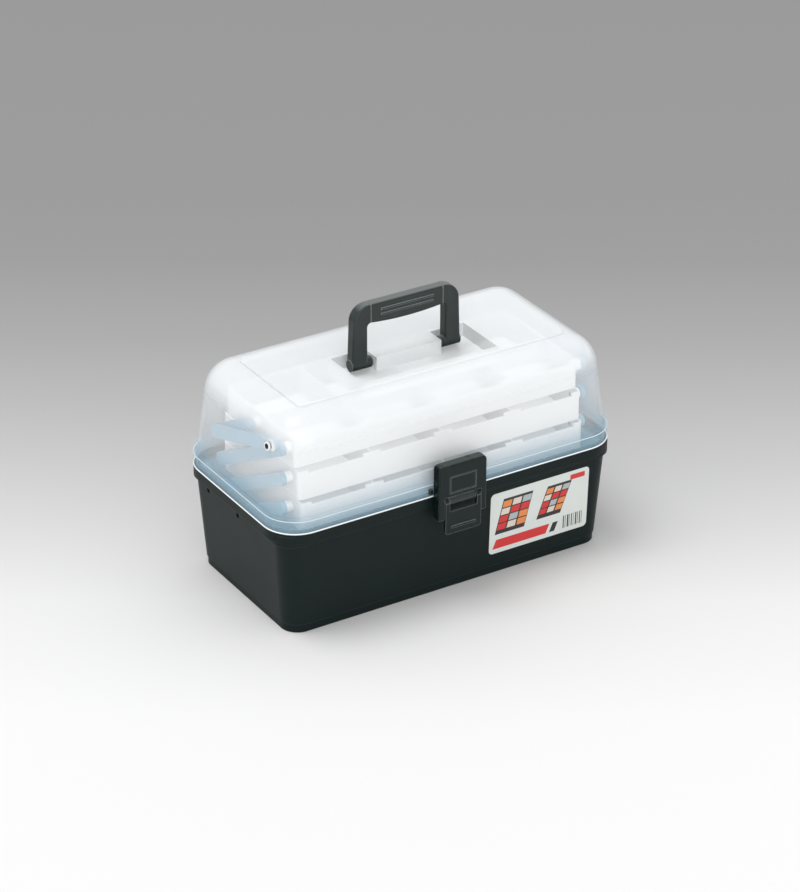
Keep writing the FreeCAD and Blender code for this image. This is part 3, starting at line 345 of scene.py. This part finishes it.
def blended(tree, low, high, mask, place):
    """A number between two others, each a socket or a plain value."""
    blend = add_node(tree, "ShaderNodeMix", place)
    for socket, value in ((0, mask), (2, low), (3, high)):
        if isinstance(value, float):
            blend.inputs[socket].default_value = value
        else:
            tree.links.new(value, blend.inputs[socket])
    return blend.outputs[0]


def walls_passed(tree, count, place):
    """1 on a ray that has gone through at least so many see-through walls."""
    path = add_node(tree, "ShaderNodeLightPath", (place[0] - 200, place[1]))
    passed = add_node(tree, "ShaderNodeMath", place, operation="GREATER_THAN")
    passed.inputs[1].default_value = count - 0.5
    join(tree, path, "Transparent Depth", passed, 0)
    return path, passed.outputs[0]


MASKS = (by_height, blended, walls_passed)
print("masks ready:", ", ".join(tool.__name__ for tool in MASKS))

# %% [markdown]
# The masks come together in one material. Its cover is the shader's Alpha, and its colour
# climbs from a bluish foot to the plastic's own white.

# %% A maker of milky plastics
FACING_BLEND, FACING_POWER = 0.35, 3.0    # only a nearly edge-on wall turns whiter


def milky(name, colour, low_colour, levels, roughness, face_on, edge_on, behind,
          for_light):
    """A cloudy plastic; the last four values are its cover, as the names say."""
    material, shader, skin = plastic(name, colour, roughness, cloud=0.04, grain=0.1,
                                     soften=0.0)
    tree = material.node_tree
    facing = add_node(tree, "ShaderNodeLayerWeight", (-1300, 700), Blend=FACING_BLEND)
    steep = add_node(tree, "ShaderNodeMath", (-1100, 700), operation="POWER")
    steep.inputs[1].default_value = FACING_POWER
    join(tree, facing, "Facing", steep, 0)
    flat = face_on(tree) if callable(face_on) else face_on
    near = blended(tree, flat, edge_on, steep.outputs[0], (-900, 700))
    path, second = walls_passed(tree, 2, (-900, 450))
    seen = blended(tree, near, behind, second, (-700, 600))
    cover = blended(tree, for_light, seen, path.outputs["Is Camera Ray"], (-500, 600))
    tree.links.new(cover, shader.inputs["Alpha"])
    above = by_height(tree, *levels, (-900, 250))
    tree.links.new(mixed_colour(tree, above, low_colour, colour, (-650, 200)),
                   skin.inputs["Color"])
    return material


print("a milky plastic turns white edge on, by power", FACING_POWER)

# %% [markdown]
# The lid's cover isn't even: the roof is the whitest, and the walls below it are clear
# enough to show the arms that swing right behind them. Towards its foot the lid turns
# blue. The trays are thicker and nearly white, and stay bluish only near the bottom, in
# the shade.

# %% The lid and the trays
WALL_COVER, ROOF_COVER = 0.24, 0.56
ROOF_LEVELS = (186 * MM, 210 * MM)
LID_BLUE_LEVELS = (112 * MM, 154 * MM)
TRAY_BLUE_LEVELS = (98 * MM, 118 * MM)


def lid_cover(tree):
    """The lid's cover face on: clear walls under a white roof."""
    roof = by_height(tree, *ROOF_LEVELS, (-1300, 1300))
    return blended(tree, WALL_COVER, ROOF_COVER, roof, (-900, 1000))


lid_clear = milky("lid_clear", (0.89, 0.915, 0.935), (0.45, 0.69, 0.84), LID_BLUE_LEVELS,
                  0.2, face_on=lid_cover, edge_on=0.7, behind=0.85, for_light=0.05)
tray_white = milky("tray_white", (0.93, 0.945, 0.955), (0.82, 0.89, 0.94),
                   TRAY_BLUE_LEVELS, 0.3, face_on=0.9, edge_on=0.97, behind=0.93,
                   for_light=0.05)
print("see-through plastics", lid_clear.name, tray_white.name)

# %% [markdown]
# What lies deep in the tub isn't black when it is seen through the shut lid, because a
# milky wall scatters more light the further it stands from what is behind. That scattered
# light is painted into the tub's own colour: a ray that has passed a wall finds its inside
# pale and bluish.

# %% The tub's inside behind the lid
HAZE_LIGHT_COLOUR, HAZE_LIGHT_LEVELS = (0.5, 0.68, 0.78), (100 * MM, 108 * MM)


def painted_with_haze_light(material, colour, levels):
    """Below a level, a surface seen through another takes a painted colour of scattered
    light.
    """
    tree = material.node_tree
    shader = next(node for node in tree.nodes
                  if node.bl_idname == "ShaderNodeBsdfPrincipled")
    own = shader.inputs["Base Color"].links[0].from_socket
    _, behind = walls_passed(tree, 1, (-500, 800))
    above = by_height(tree, *levels, (-500, 1000))
    mask = blended(tree, behind, 0.0, above, (-300, 900))
    haze_light_colour = mixed_colour(tree, mask, own, colour, (-60, 700))
    tree.links.new(haze_light_colour, shader.inputs["Base Color"])


# The tub's pale inside behind the lid is painted scattered light.
painted_with_haze_light(tub_black, HAZE_LIGHT_COLOUR, HAZE_LIGHT_LEVELS)
print("the tub's inside is veiled behind the lid")

# %% [markdown]
# ## Steel
# The hinge and latch pins are drawn steel rod: metal, with a fine scratch along it.

# %% The pin steel
STEEL_COLOUR, STEEL_ROUGHNESS = (0.62, 0.62, 0.63), (0.22, 0.5)
SCRATCHES = (40, 3000, 3000)              # per metre: long along the rod, fine across


def steel(name):
    """A metal with scratches along X."""
    material = bpy.data.materials.new(name)
    material.use_nodes = True
    tree = material.node_tree
    shader = tree.nodes["Principled BSDF"]
    shader.inputs["Metallic"].default_value = 1.0
    shader.inputs["Base Color"].default_value = (*STEEL_COLOUR, 1)
    coords = add_node(tree, "ShaderNodeTexCoord", (-900, 0))
    stretch = add_node(tree, "ShaderNodeMapping", (-700, 0))
    stretch.inputs["Scale"].default_value = SCRATCHES
    scratch = add_node(tree, "ShaderNodeTexNoise", (-500, 0), Scale=1.0)
    spread = add_node(tree, "ShaderNodeMapRange", (-250, 0))
    spread.inputs["To Min"].default_value = STEEL_ROUGHNESS[0]
    spread.inputs["To Max"].default_value = STEEL_ROUGHNESS[1]
    join(tree, coords, "Object", stretch, "Vector")
    join(tree, stretch, "Vector", scratch, "Vector")
    join(tree, scratch, "Fac", spread, "Value")
    join(tree, spread, "Result", shader, "Roughness")
    return material


pin_steel = steel("pin_steel")
print("metal", pin_steel.name)

# %% [markdown]
# ## Dressing the solids
# A solid whose shape is right keeps its mesh and only gets its finish. It brings its own
# normals for flat and round walls. With every face marked smooth they stay as they are,
# and neighbouring faces share them exactly. The first name that fits a node wins, so a
# longer name stands before the shorter one that it starts with.

# %% Give each solid its finish
FINISHES = [("base_tub", tub_black), ("lid_shell", lid_clear), ("handle", grip_black),
            ("latch_hinge_pin", pin_steel), ("latch_keeper", tub_black),
            ("latch", latch_black), ("hinge_pin", pin_steel), ("tray", tray_white),
            ("arm", arm_blue), ("lid_link", arm_blue), ("link_bushes", bush_white),
            ("link_pins", pin_black)]


def finish_for(name):
    """The material of the first entry that the node's name starts with."""
    for start, material in FINISHES:
        if name.startswith(start):
            return material
    raise KeyError(name)


for name, solid in nodes.items():
    solid.data.materials.clear()
    solid.data.materials.append(finish_for(name))
    for face in solid.data.polygons:
        face.use_smooth = True
print(len(nodes), "solids dressed")

# %% [markdown]
# ## Printed label
# The label is a thin sheet glued to the front wall, with a pale ground and plain
# coloured shapes. Each shape is a flat outline in the label's own measure, from its
# lower left corner, and all are laid on the leaning wall by one function.

# %% Lay outlines on the front wall
LABEL_X, LABEL_Z = 44 * MM, 21.8 * MM     # its lower left corner
LABEL_WIDE, LABEL_TALL = 114, 67.6        # in mm, as u and v are
CORNER_STEPS, INK_ROUGHNESS = 6, 0.3


def on_wall(u, v, lift):
    """A point of the label, u and v in millimetres, lifted off the wall."""
    z = LABEL_Z + v * MM
    return Vector((LABEL_X + u * MM, front_wall_y(z) - lift * MM, z))


def rounded_outline(u0, v0, u1, v1, radius):
    """A rectangle with round corners, as a list of points."""
    points = []
    for cu, cv, start in ((u1 - radius, v0 + radius, -90), (u1 - radius, v1 - radius, 0),
                          (u0 + radius, v1 - radius, 90), (u0 + radius, v0 + radius, 180)):
        for step in range(CORNER_STEPS + 1):
            angle = math.radians(start + 90 * step / CORNER_STEPS)
            points.append((cu + radius * math.cos(angle), cv + radius * math.sin(angle)))
    return points


def flat_ink(name, colour):
    """A printed colour with the faint unevenness of ink on film."""
    material, _, _ = plastic(name, colour, INK_ROUGHNESS, grain=0.05, soften=0.0)
    return material


print("the label measures", LABEL_WIDE, "by", LABEL_TALL, "mm")

# %% [markdown]
# The design is generic: two slanted trays with coloured cells, a few bars and a block of
# stripes. One list of inks and outlines holds all of it, so a new shape is one more line.

# %% The label's inks and shapes
INKS = {"ground": flat_ink("ink_ground", (0.68, 0.72, 0.69)),
        "dark": flat_ink("ink_dark", (0.02, 0.02, 0.022)),
        "red": flat_ink("ink_red", (0.62, 0.03, 0.03)),
        "orange": flat_ink("ink_orange", (0.75, 0.25, 0.07)),
        "grey": flat_ink("ink_grey", (0.42, 0.45, 0.46)),
        "pale": flat_ink("ink_pale", (0.7, 0.62, 0.52))}
CELL_INKS = ["red", "pale", "orange", "red", "grey", "orange", "pale", "red", "red",
             "orange", "pale", "grey"]
COLUMNS, ROWS = 3, 4
CELL_GAP_U, CELL_GAP_V = 1.6, 1.2
FIRST_CELL_U, FIRST_CELL_V, BORDERS_V = 1, 4.5, 6
STRIPE_WIDTHS = (1.2, 0.6, 1.6, 0.6, 1.0, 0.5, 1.4, 0.7, 1.1, 0.5)
STRIPE_LEFT, STRIPE_STEP = 86, 2.4


def slanted_tray(u, v, wide, tall, lean):
    """A dark tray seen from above with cells of mixed colours."""
    shapes = [("dark", [(u, v), (u + wide, v), (u + wide + lean, v + tall),
                        (u + lean, v + tall)])]
    cell_u, cell_v = wide / COLUMNS, (tall - BORDERS_V) / ROWS
    for index, ink in enumerate(CELL_INKS):
        row, column = divmod(index, COLUMNS)
        low = v + FIRST_CELL_V + row * cell_v
        high = low + cell_v - CELL_GAP_V
        left = u + lean * (low - v) / tall + column * cell_u + FIRST_CELL_U
        right = left + cell_u - CELL_GAP_U
        slip = lean * (high - low) / tall
        shapes.append((ink, [(left, low), (right, low), (right + slip, high),
                             (left + slip, high)]))
    return shapes


def label_shapes():
    """Every printed shape as (ink, outline), the ground first."""
    shapes = [("ground", rounded_outline(0, 0, LABEL_WIDE, LABEL_TALL, radius=4.5))]
    shapes += slanted_tray(6, 21, 34, 38, 9)
    shapes += slanted_tray(54, 24, 28, 34, 12)
    shapes.append(("red", [(4, 5), (66, 5), (70, 15), (8, 15)]))
    shapes.append(("dark", [(70, 5), (76, 5), (80, 15), (74, 15)]))
    shapes.append(("red", rounded_outline(92, 58, 109, 63.5, radius=1)))
    for index, width in enumerate(STRIPE_WIDTHS):
        left = STRIPE_LEFT + index * STRIPE_STEP
        shapes.append(("dark", [(left, 5), (left + width, 5), (left + width, 19),
                                (left, 19)]))
    return shapes


print(len(INKS), "inks for", len(label_shapes()), "shapes")

# %% [markdown]
# The shapes go into one mesh, a hair apart: the ground lies lowest, then the dark shapes,
# then the colours. So no two of them fight for the same place in the picture.

# %% Print the label
GROUND_LIFT, DARK_LIFT, INK_LIFT = 0.1, 0.13, 0.16    # in mm off the wall


def print_label():
    """One mesh of flat faces, each with its own ink."""
    mesh = bpy.data.meshes.new("label_sheet")
    build = bmesh.new()
    slots = list(INKS)
    for index, (ink, outline) in enumerate(label_shapes()):
        lift = DARK_LIFT if ink == "dark" else INK_LIFT
        if index == 0:
            lift = GROUND_LIFT
        corners = [build.verts.new(on_wall(u, v, lift)) for u, v in outline]
        face = build.faces.new(corners)
        face.material_index = slots.index(ink)
    build.to_mesh(mesh)
    build.free()
    for ink in slots:
        mesh.materials.append(INKS[ink])
    piece = bpy.data.objects.new("label_sheet", mesh)
    bpy.context.scene.collection.objects.link(piece)
    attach(piece, "base")
    return piece


label = print_label()
print("label made of", len(label.data.polygons), "shapes")

# %% [markdown]
# ## The painted highlight along the lid's foot
# Along the lid's foot runs a thin line of light at the cut edge of the clear plastic. It is
# painted: a white bead that follows the rim all the way round, so it is a curve with a
# round section. Geometry Nodes can draw the rounded rectangle and sweep the section along
# it.

# %% A tree for rings
RING_CORNER_STEPS, RING_SIDES = 12, 8


def ring_tree(name, material):
    """A tree that sweeps a round section along a rounded rectangle."""
    tree = bpy.data.node_groups.new(name, "GeometryNodeTree")
    tree.interface.new_socket("Geometry", in_out="OUTPUT", socket_type="NodeSocketGeometry")
    for label, start in (("Half Length", RIM_HALF[0]), ("Half Depth", RIM_HALF[1]),
                         ("Corner", RIM_CORNER), ("Level", RIM_Z), ("Thickness", 0.5 * MM)):
        socket = tree.interface.new_socket(label, in_out="INPUT",
                                           socket_type="NodeSocketFloat")
        socket.default_value = start
    entry = add_node(tree, "NodeGroupInput", (-900, 0))
    leave = add_node(tree, "NodeGroupOutput", (700, 0))
    box = add_node(tree, "GeometryNodeCurvePrimitiveQuadrilateral", (-500, 100))
    for side, half in (("Width", "Half Length"), ("Height", "Half Depth")):
        double = add_node(tree, "ShaderNodeMath", (-700, 100), operation="MULTIPLY")
        double.inputs[1].default_value = 2.0
        join(tree, entry, half, double, 0)
        join(tree, double, 0, box, side)
    corners = add_node(tree, "GeometryNodeFilletCurve", (-300, 100), mode="POLY",
                       Count=RING_CORNER_STEPS)
    join(tree, box, "Curve", corners, "Curve")
    join(tree, entry, "Corner", corners, "Radius")
    section = add_node(tree, "GeometryNodeCurvePrimitiveCircle", (-300, -200),
                       Resolution=RING_SIDES)
    join(tree, entry, "Thickness", section, "Radius")
    sweep = add_node(tree, "GeometryNodeCurveToMesh", (-50, 50))
    join(tree, corners, "Curve", sweep, "Curve")
    join(tree, section, "Curve", sweep, "Profile Curve")
    lifted = add_node(tree, "GeometryNodeTransform", (150, 50))
    level = add_node(tree, "ShaderNodeCombineXYZ", (-50, -200))
    join(tree, entry, "Level", level, "Z")
    join(tree, level, "Vector", lifted, "Translation")
    join(tree, sweep, "Mesh", lifted, "Geometry")
    smooth = add_node(tree, "GeometryNodeSetShadeSmooth", (300, 50))
    join(tree, lifted, "Geometry", smooth, "Geometry")
    real = add_node(tree, "GeometryNodeRealizeInstances", (450, 50))
    join(tree, smooth, "Geometry", real, "Geometry")
    paint = add_node(tree, "GeometryNodeSetMaterial", (580, 50), Material=material)
    join(tree, real, "Geometry", paint, "Geometry")
    join(tree, paint, "Geometry", leave, "Geometry")
    return tree


print("a ring has", RING_SIDES, "sides")

# %% [markdown]
# A tree only describes a shape. Run on an empty mesh, it makes the ring once, and the
# result is kept as a plain mesh, so the piece can ride the lid like any other.

# %% A ring that follows the rim
def grow(name, tree, values, body):
    """Runs a tree on an empty mesh, keeps the result as a plain mesh and rides it."""
    holder = bpy.data.objects.new(name, bpy.data.meshes.new(name))
    bpy.context.scene.collection.objects.link(holder)
    modifier = holder.modifiers.new("grow", "NODES")
    modifier.node_group = tree
    for item in tree.interface.items_tree:
        if item.in_out == "INPUT" and item.name in values:
            modifier[item.identifier] = values[item.name]
    seen = bpy.context.evaluated_depsgraph_get()
    made = bpy.data.meshes.new_from_object(holder.evaluated_get(seen))
    holder.modifiers.clear()
    holder.data = made
    made.name = name
    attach(holder, body)
    print(name, "has", len(made.polygons), "faces")


# The bead's white is a painted highlight.
rim_highlight_white, _, _ = plastic("rim_highlight_white", (0.95, 0.97, 0.98), 0.2, cloud=0.03, soften=0.0)
grow("lid_edge_highlight", ring_tree("ring_along_rim", rim_highlight_white),
     {"Half Length": RIM_HALF[0] - 0.2 * MM, "Half Depth": RIM_HALF[1] - 0.2 * MM,
      "Corner": RIM_CORNER, "Level": RIM_Z + 0.8 * MM, "Thickness": 0.7 * MM}, "lid")

# %% [markdown]
# The flange that grips the tub's lip ends in a second, finer line of light some 13 mm
# higher, painted as a pale blue bead. The same tree draws it with other values.

# %% A second ring on the flange's upper edge
FLANGE_TOP_Z = 124.4 * MM
# The bead's pale blue is a painted highlight.
flange_highlight_blue, _, _ = plastic("flange_highlight_blue", (0.72, 0.85, 0.92), 0.2, cloud=0.03, soften=0.0)
grow("flange_edge_highlight", ring_tree("ring_along_flange", flange_highlight_blue),
     {"Half Length": RIM_HALF[0] - 0.35 * MM, "Half Depth": RIM_HALF[1] - 0.35 * MM,
      "Corner": RIM_CORNER - 0.3 * MM, "Level": FLANGE_TOP_Z, "Thickness": 0.45 * MM},
     "lid")

# %% [markdown]
# ## Rivet heads
# Each lid link turns on a pin whose head shows crisply on the outside of the end wall: a
# white washer with a dark middle. Both are turned shapes, so one helper spins a short list
# of radii and heights round an axis.

# %% A maker of turned caps
CAP_SIDES = 40


def turned_cap(name, rings, material, body, place, normal):
    """A solid of revolution: rings of (radius, height) in mm, closed top and bottom."""
    build = bmesh.new()
    turn = normal.to_track_quat("Z", "Y")
    loops = []
    for radius, height in rings:
        loop = []
        for step in range(CAP_SIDES):
            angle = 2 * math.pi * step / CAP_SIDES
            spot = Vector((radius * math.cos(angle), radius * math.sin(angle), height)) * MM
            loop.append(build.verts.new(place + turn @ spot))
        loops.append(loop)
    for low, high in zip(loops, loops[1:]):
        for step in range(CAP_SIDES):
            after = (step + 1) % CAP_SIDES
            build.faces.new((low[step], low[after], high[after], high[step]))
    build.faces.new(loops[0][::-1])
    build.faces.new(loops[-1])
    mesh = bpy.data.meshes.new(name)
    build.to_mesh(mesh)
    build.free()
    mesh.materials.append(material)
    piece = bpy.data.objects.new(name, mesh)
    bpy.context.scene.collection.objects.link(piece)
    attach(piece, body)


print("a cap has", CAP_SIDES, "sides")

# %% [markdown]
# The end walls lean, and a cap has to lean with its wall. A ray cast from outside, on each
# side of the pin's own hole, finds the wall and its tilt.

# %% Caps where the link pins pass the wall
WASHER_RINGS = [(4.4, -0.6), (4.4, 0.35), (4.1, 0.6)]
HEAD_RINGS = [(2.6, -0.5), (2.6, 0.85), (2.2, 1.0)]
RAY_START, RAY_SHIFT = 300 * MM, 9 * MM
link_pin = middle_of("link_pins")


def wall_spot(side):
    """Where the lid's end wall stands at the link's height, and which way it leans."""
    hits = []
    for shift in (-RAY_SHIFT, RAY_SHIFT):
        start = Vector((side * RAY_START, link_pin.y + shift, link_pin.z))
        _, spot, normal, _ = nodes["lid_shell"].ray_cast(start, Vector((-side, 0, 0)))
        hits.append((spot, normal))
    middle = (hits[0][0] + hits[1][0]) / 2
    return middle, (hits[0][1] + hits[1][1]).normalized()


for side, word in ((-1, "left"), (1, "right")):
    spot, lean = wall_spot(side)
    turned_cap("link_washer_" + word, WASHER_RINGS, bush_white, "lid", spot, lean)
    turned_cap("link_head_" + word, HEAD_RINGS, pin_black, "lid", spot, lean)
    print("pin head on the", word, "wall at", [round(v * 1000, 1) for v in spot])

# %% [markdown]
# A round bar fills the top of the lever's window. It lies on the lever's own axis, so it
# stays in place as the lever turns.

# %% The bar in the lever's window
BAR_LONG, BAR_RADIUS = 29.2, 4.2
BAR_RINGS = [(BAR_RADIUS - 0.3, 0), (BAR_RADIUS, 0.4), (BAR_RADIUS, BAR_LONG - 0.4),
             (BAR_RADIUS - 0.3, BAR_LONG)]
lever_pin = middle_of("latch_lever_pin")
bar_start = Vector((-BAR_LONG / 2 * MM, lever_pin.y, lever_pin.z))
turned_cap("lever_bar", BAR_RINGS, grip_black, "latch_lever", bar_start,
           Vector((1, 0, 0)))
print("the bar is", BAR_LONG, "mm long")

# %% [markdown]
# ## Floor, light and camera
# The floor is a plain sheet that runs from white in front to grey far behind. One ramp
# along the direction away from the camera gives that, and no lamp has to be turned down.

# %% The floor
FLOOR_HALF, FLOOR_Z = 8.0, -0.3 * MM
FLOOR_AWAY = (0.528, 0.849, 0)            # level, and away from the camera
FLOOR_GAIN = 0.905
FLOOR_STOPS = [(far, grey * FLOOR_GAIN) for far, grey in (
    (-0.3, 0.975), (-0.1, 0.9), (0.055, 0.735), (0.181, 0.62), (0.315, 0.517),
    (0.459, 0.43), (0.668, 0.352), (0.84, 0.335), (1.6, 0.32))]


def make_floor():
    """A sheet whose grey goes by how far it lies behind the box, in metres."""
    mesh = bpy.data.meshes.new("floor")
    corners = [(x * FLOOR_HALF, y * FLOOR_HALF, FLOOR_Z)
               for x, y in ((-1, -1), (1, -1), (1, 1), (-1, 1))]
    mesh.from_pydata(corners, [], [(0, 1, 2, 3)])
    floor = bpy.data.objects.new("floor", mesh)
    bpy.context.scene.collection.objects.link(floor)
    material = bpy.data.materials.new("floor_paper")
    material.use_nodes = True
    tree = material.node_tree
    shader = tree.nodes["Principled BSDF"]
    shader.inputs["Roughness"].default_value = 0.9
    shader.inputs["Specular IOR Level"].default_value = 0.0
    coords = add_node(tree, "ShaderNodeTexCoord", (-900, 0))
    along = add_node(tree, "ShaderNodeVectorMath", (-700, 0), operation="DOT_PRODUCT")
    along.inputs[1].default_value = FLOOR_AWAY
    ramp = add_node(tree, "ShaderNodeValToRGB", (-450, 0))
    spread = add_node(tree, "ShaderNodeMapRange", (-600, 0))
    spread.inputs["From Min"].default_value = FLOOR_STOPS[0][0]
    spread.inputs["From Max"].default_value = FLOOR_STOPS[-1][0]
    join(tree, coords, "Object", along, 0)
    join(tree, along, "Value", spread, "Value")
    join(tree, spread, "Result", ramp, "Fac")
    stops = ramp.color_ramp.elements
    length = FLOOR_STOPS[-1][0] - FLOOR_STOPS[0][0]
    for index, (far, grey) in enumerate(FLOOR_STOPS):
        place = (far - FLOOR_STOPS[0][0]) / length
        stop = stops[index] if index < 2 else stops.new(place)
        if index < 2:
            stop.position = place
        stop.color = (grey, grey, grey, 1)
    join(tree, ramp, "Color", shader, "Base Color")
    mesh.materials.append(material)


make_floor()
print("floor with", len(FLOOR_STOPS), "greys")

# %% [markdown]
# Two soft suns and an even sky light the box. The stronger one comes from behind on the
# left, as the bright end wall and the shadow at the front and right show. A sun with a
# wide angle gives a shadow with a soft edge.

# %% The light
SKY_STRENGTH = 0.8


def sun(name, direction, strength, spread):
    """A soft sun that shines along a direction."""
    lamp = bpy.data.lights.new(name, "SUN")
    lamp.energy = strength
    lamp.angle = math.radians(spread)
    holder = bpy.data.objects.new(name, lamp)
    holder.rotation_mode = "QUATERNION"
    holder.rotation_quaternion = Vector(direction).to_track_quat("-Z", "Y")
    bpy.context.scene.collection.objects.link(holder)


sun("key", (0.3, -0.2, -0.93), strength=0.85, spread=30)
sun("fill", (0.25, 0.93, -0.3), strength=0.7, spread=60)
world = bpy.data.worlds.new("studio")
world.use_nodes = True
sky = world.node_tree.nodes["Background"]
sky.inputs["Color"].default_value = (1, 1, 1, 1)
sky.inputs["Strength"].default_value = SKY_STRENGTH
bpy.context.scene.world = world
print(len(bpy.data.lights), "suns and a sky of", SKY_STRENGTH)

# %% [markdown]
# The camera stands where the photograph was taken from. Its turn, height and distance were
# found by matching points of the box with the picture, and so was its lens, as a length in
# pixels of the picture.

# %% The camera
AZIMUTH, ELEVATION, ROLL = -31.889, 28.235, 0.189
DISTANCE, FOCAL_PIXELS, LONG_SIDE_PIXELS = 3188.11 * MM, 3292.76, 892
AIM_HEIGHT, AIM_RIGHT, AIM_UP = 105.56 * MM, -1.7725 * MM, 7.0968 * MM


def make_camera():
    """A camera at the photograph's angle, aimed a little off the box's middle."""
    a, e = math.radians(AZIMUTH), math.radians(ELEVATION)
    back = Vector((math.sin(a) * math.cos(e), -math.cos(a) * math.cos(e), math.sin(e)))
    right = Vector((math.cos(a), math.sin(a), 0))
    up = back.cross(right)
    target = Vector((0, 0, AIM_HEIGHT)) + right * AIM_RIGHT + up * AIM_UP
    data = bpy.data.cameras.new("camera")
    data.lens = data.sensor_width * FOCAL_PIXELS / LONG_SIDE_PIXELS
    data.clip_end = 50
    camera = bpy.data.objects.new("camera", data)
    camera.location = target + back * DISTANCE
    camera.rotation_mode = "QUATERNION"
    turn = (-back).to_track_quat("-Z", "Y")
    roll = Quaternion((0, 0, 1), math.radians(ROLL))
    camera.rotation_quaternion = turn @ roll
    bpy.context.scene.collection.objects.link(camera)
    bpy.context.scene.camera = camera
    return camera


camera = make_camera()
print("lens", round(camera.data.lens, 1), "mm")
bpy.context.scene.view_settings.view_transform = "Standard"
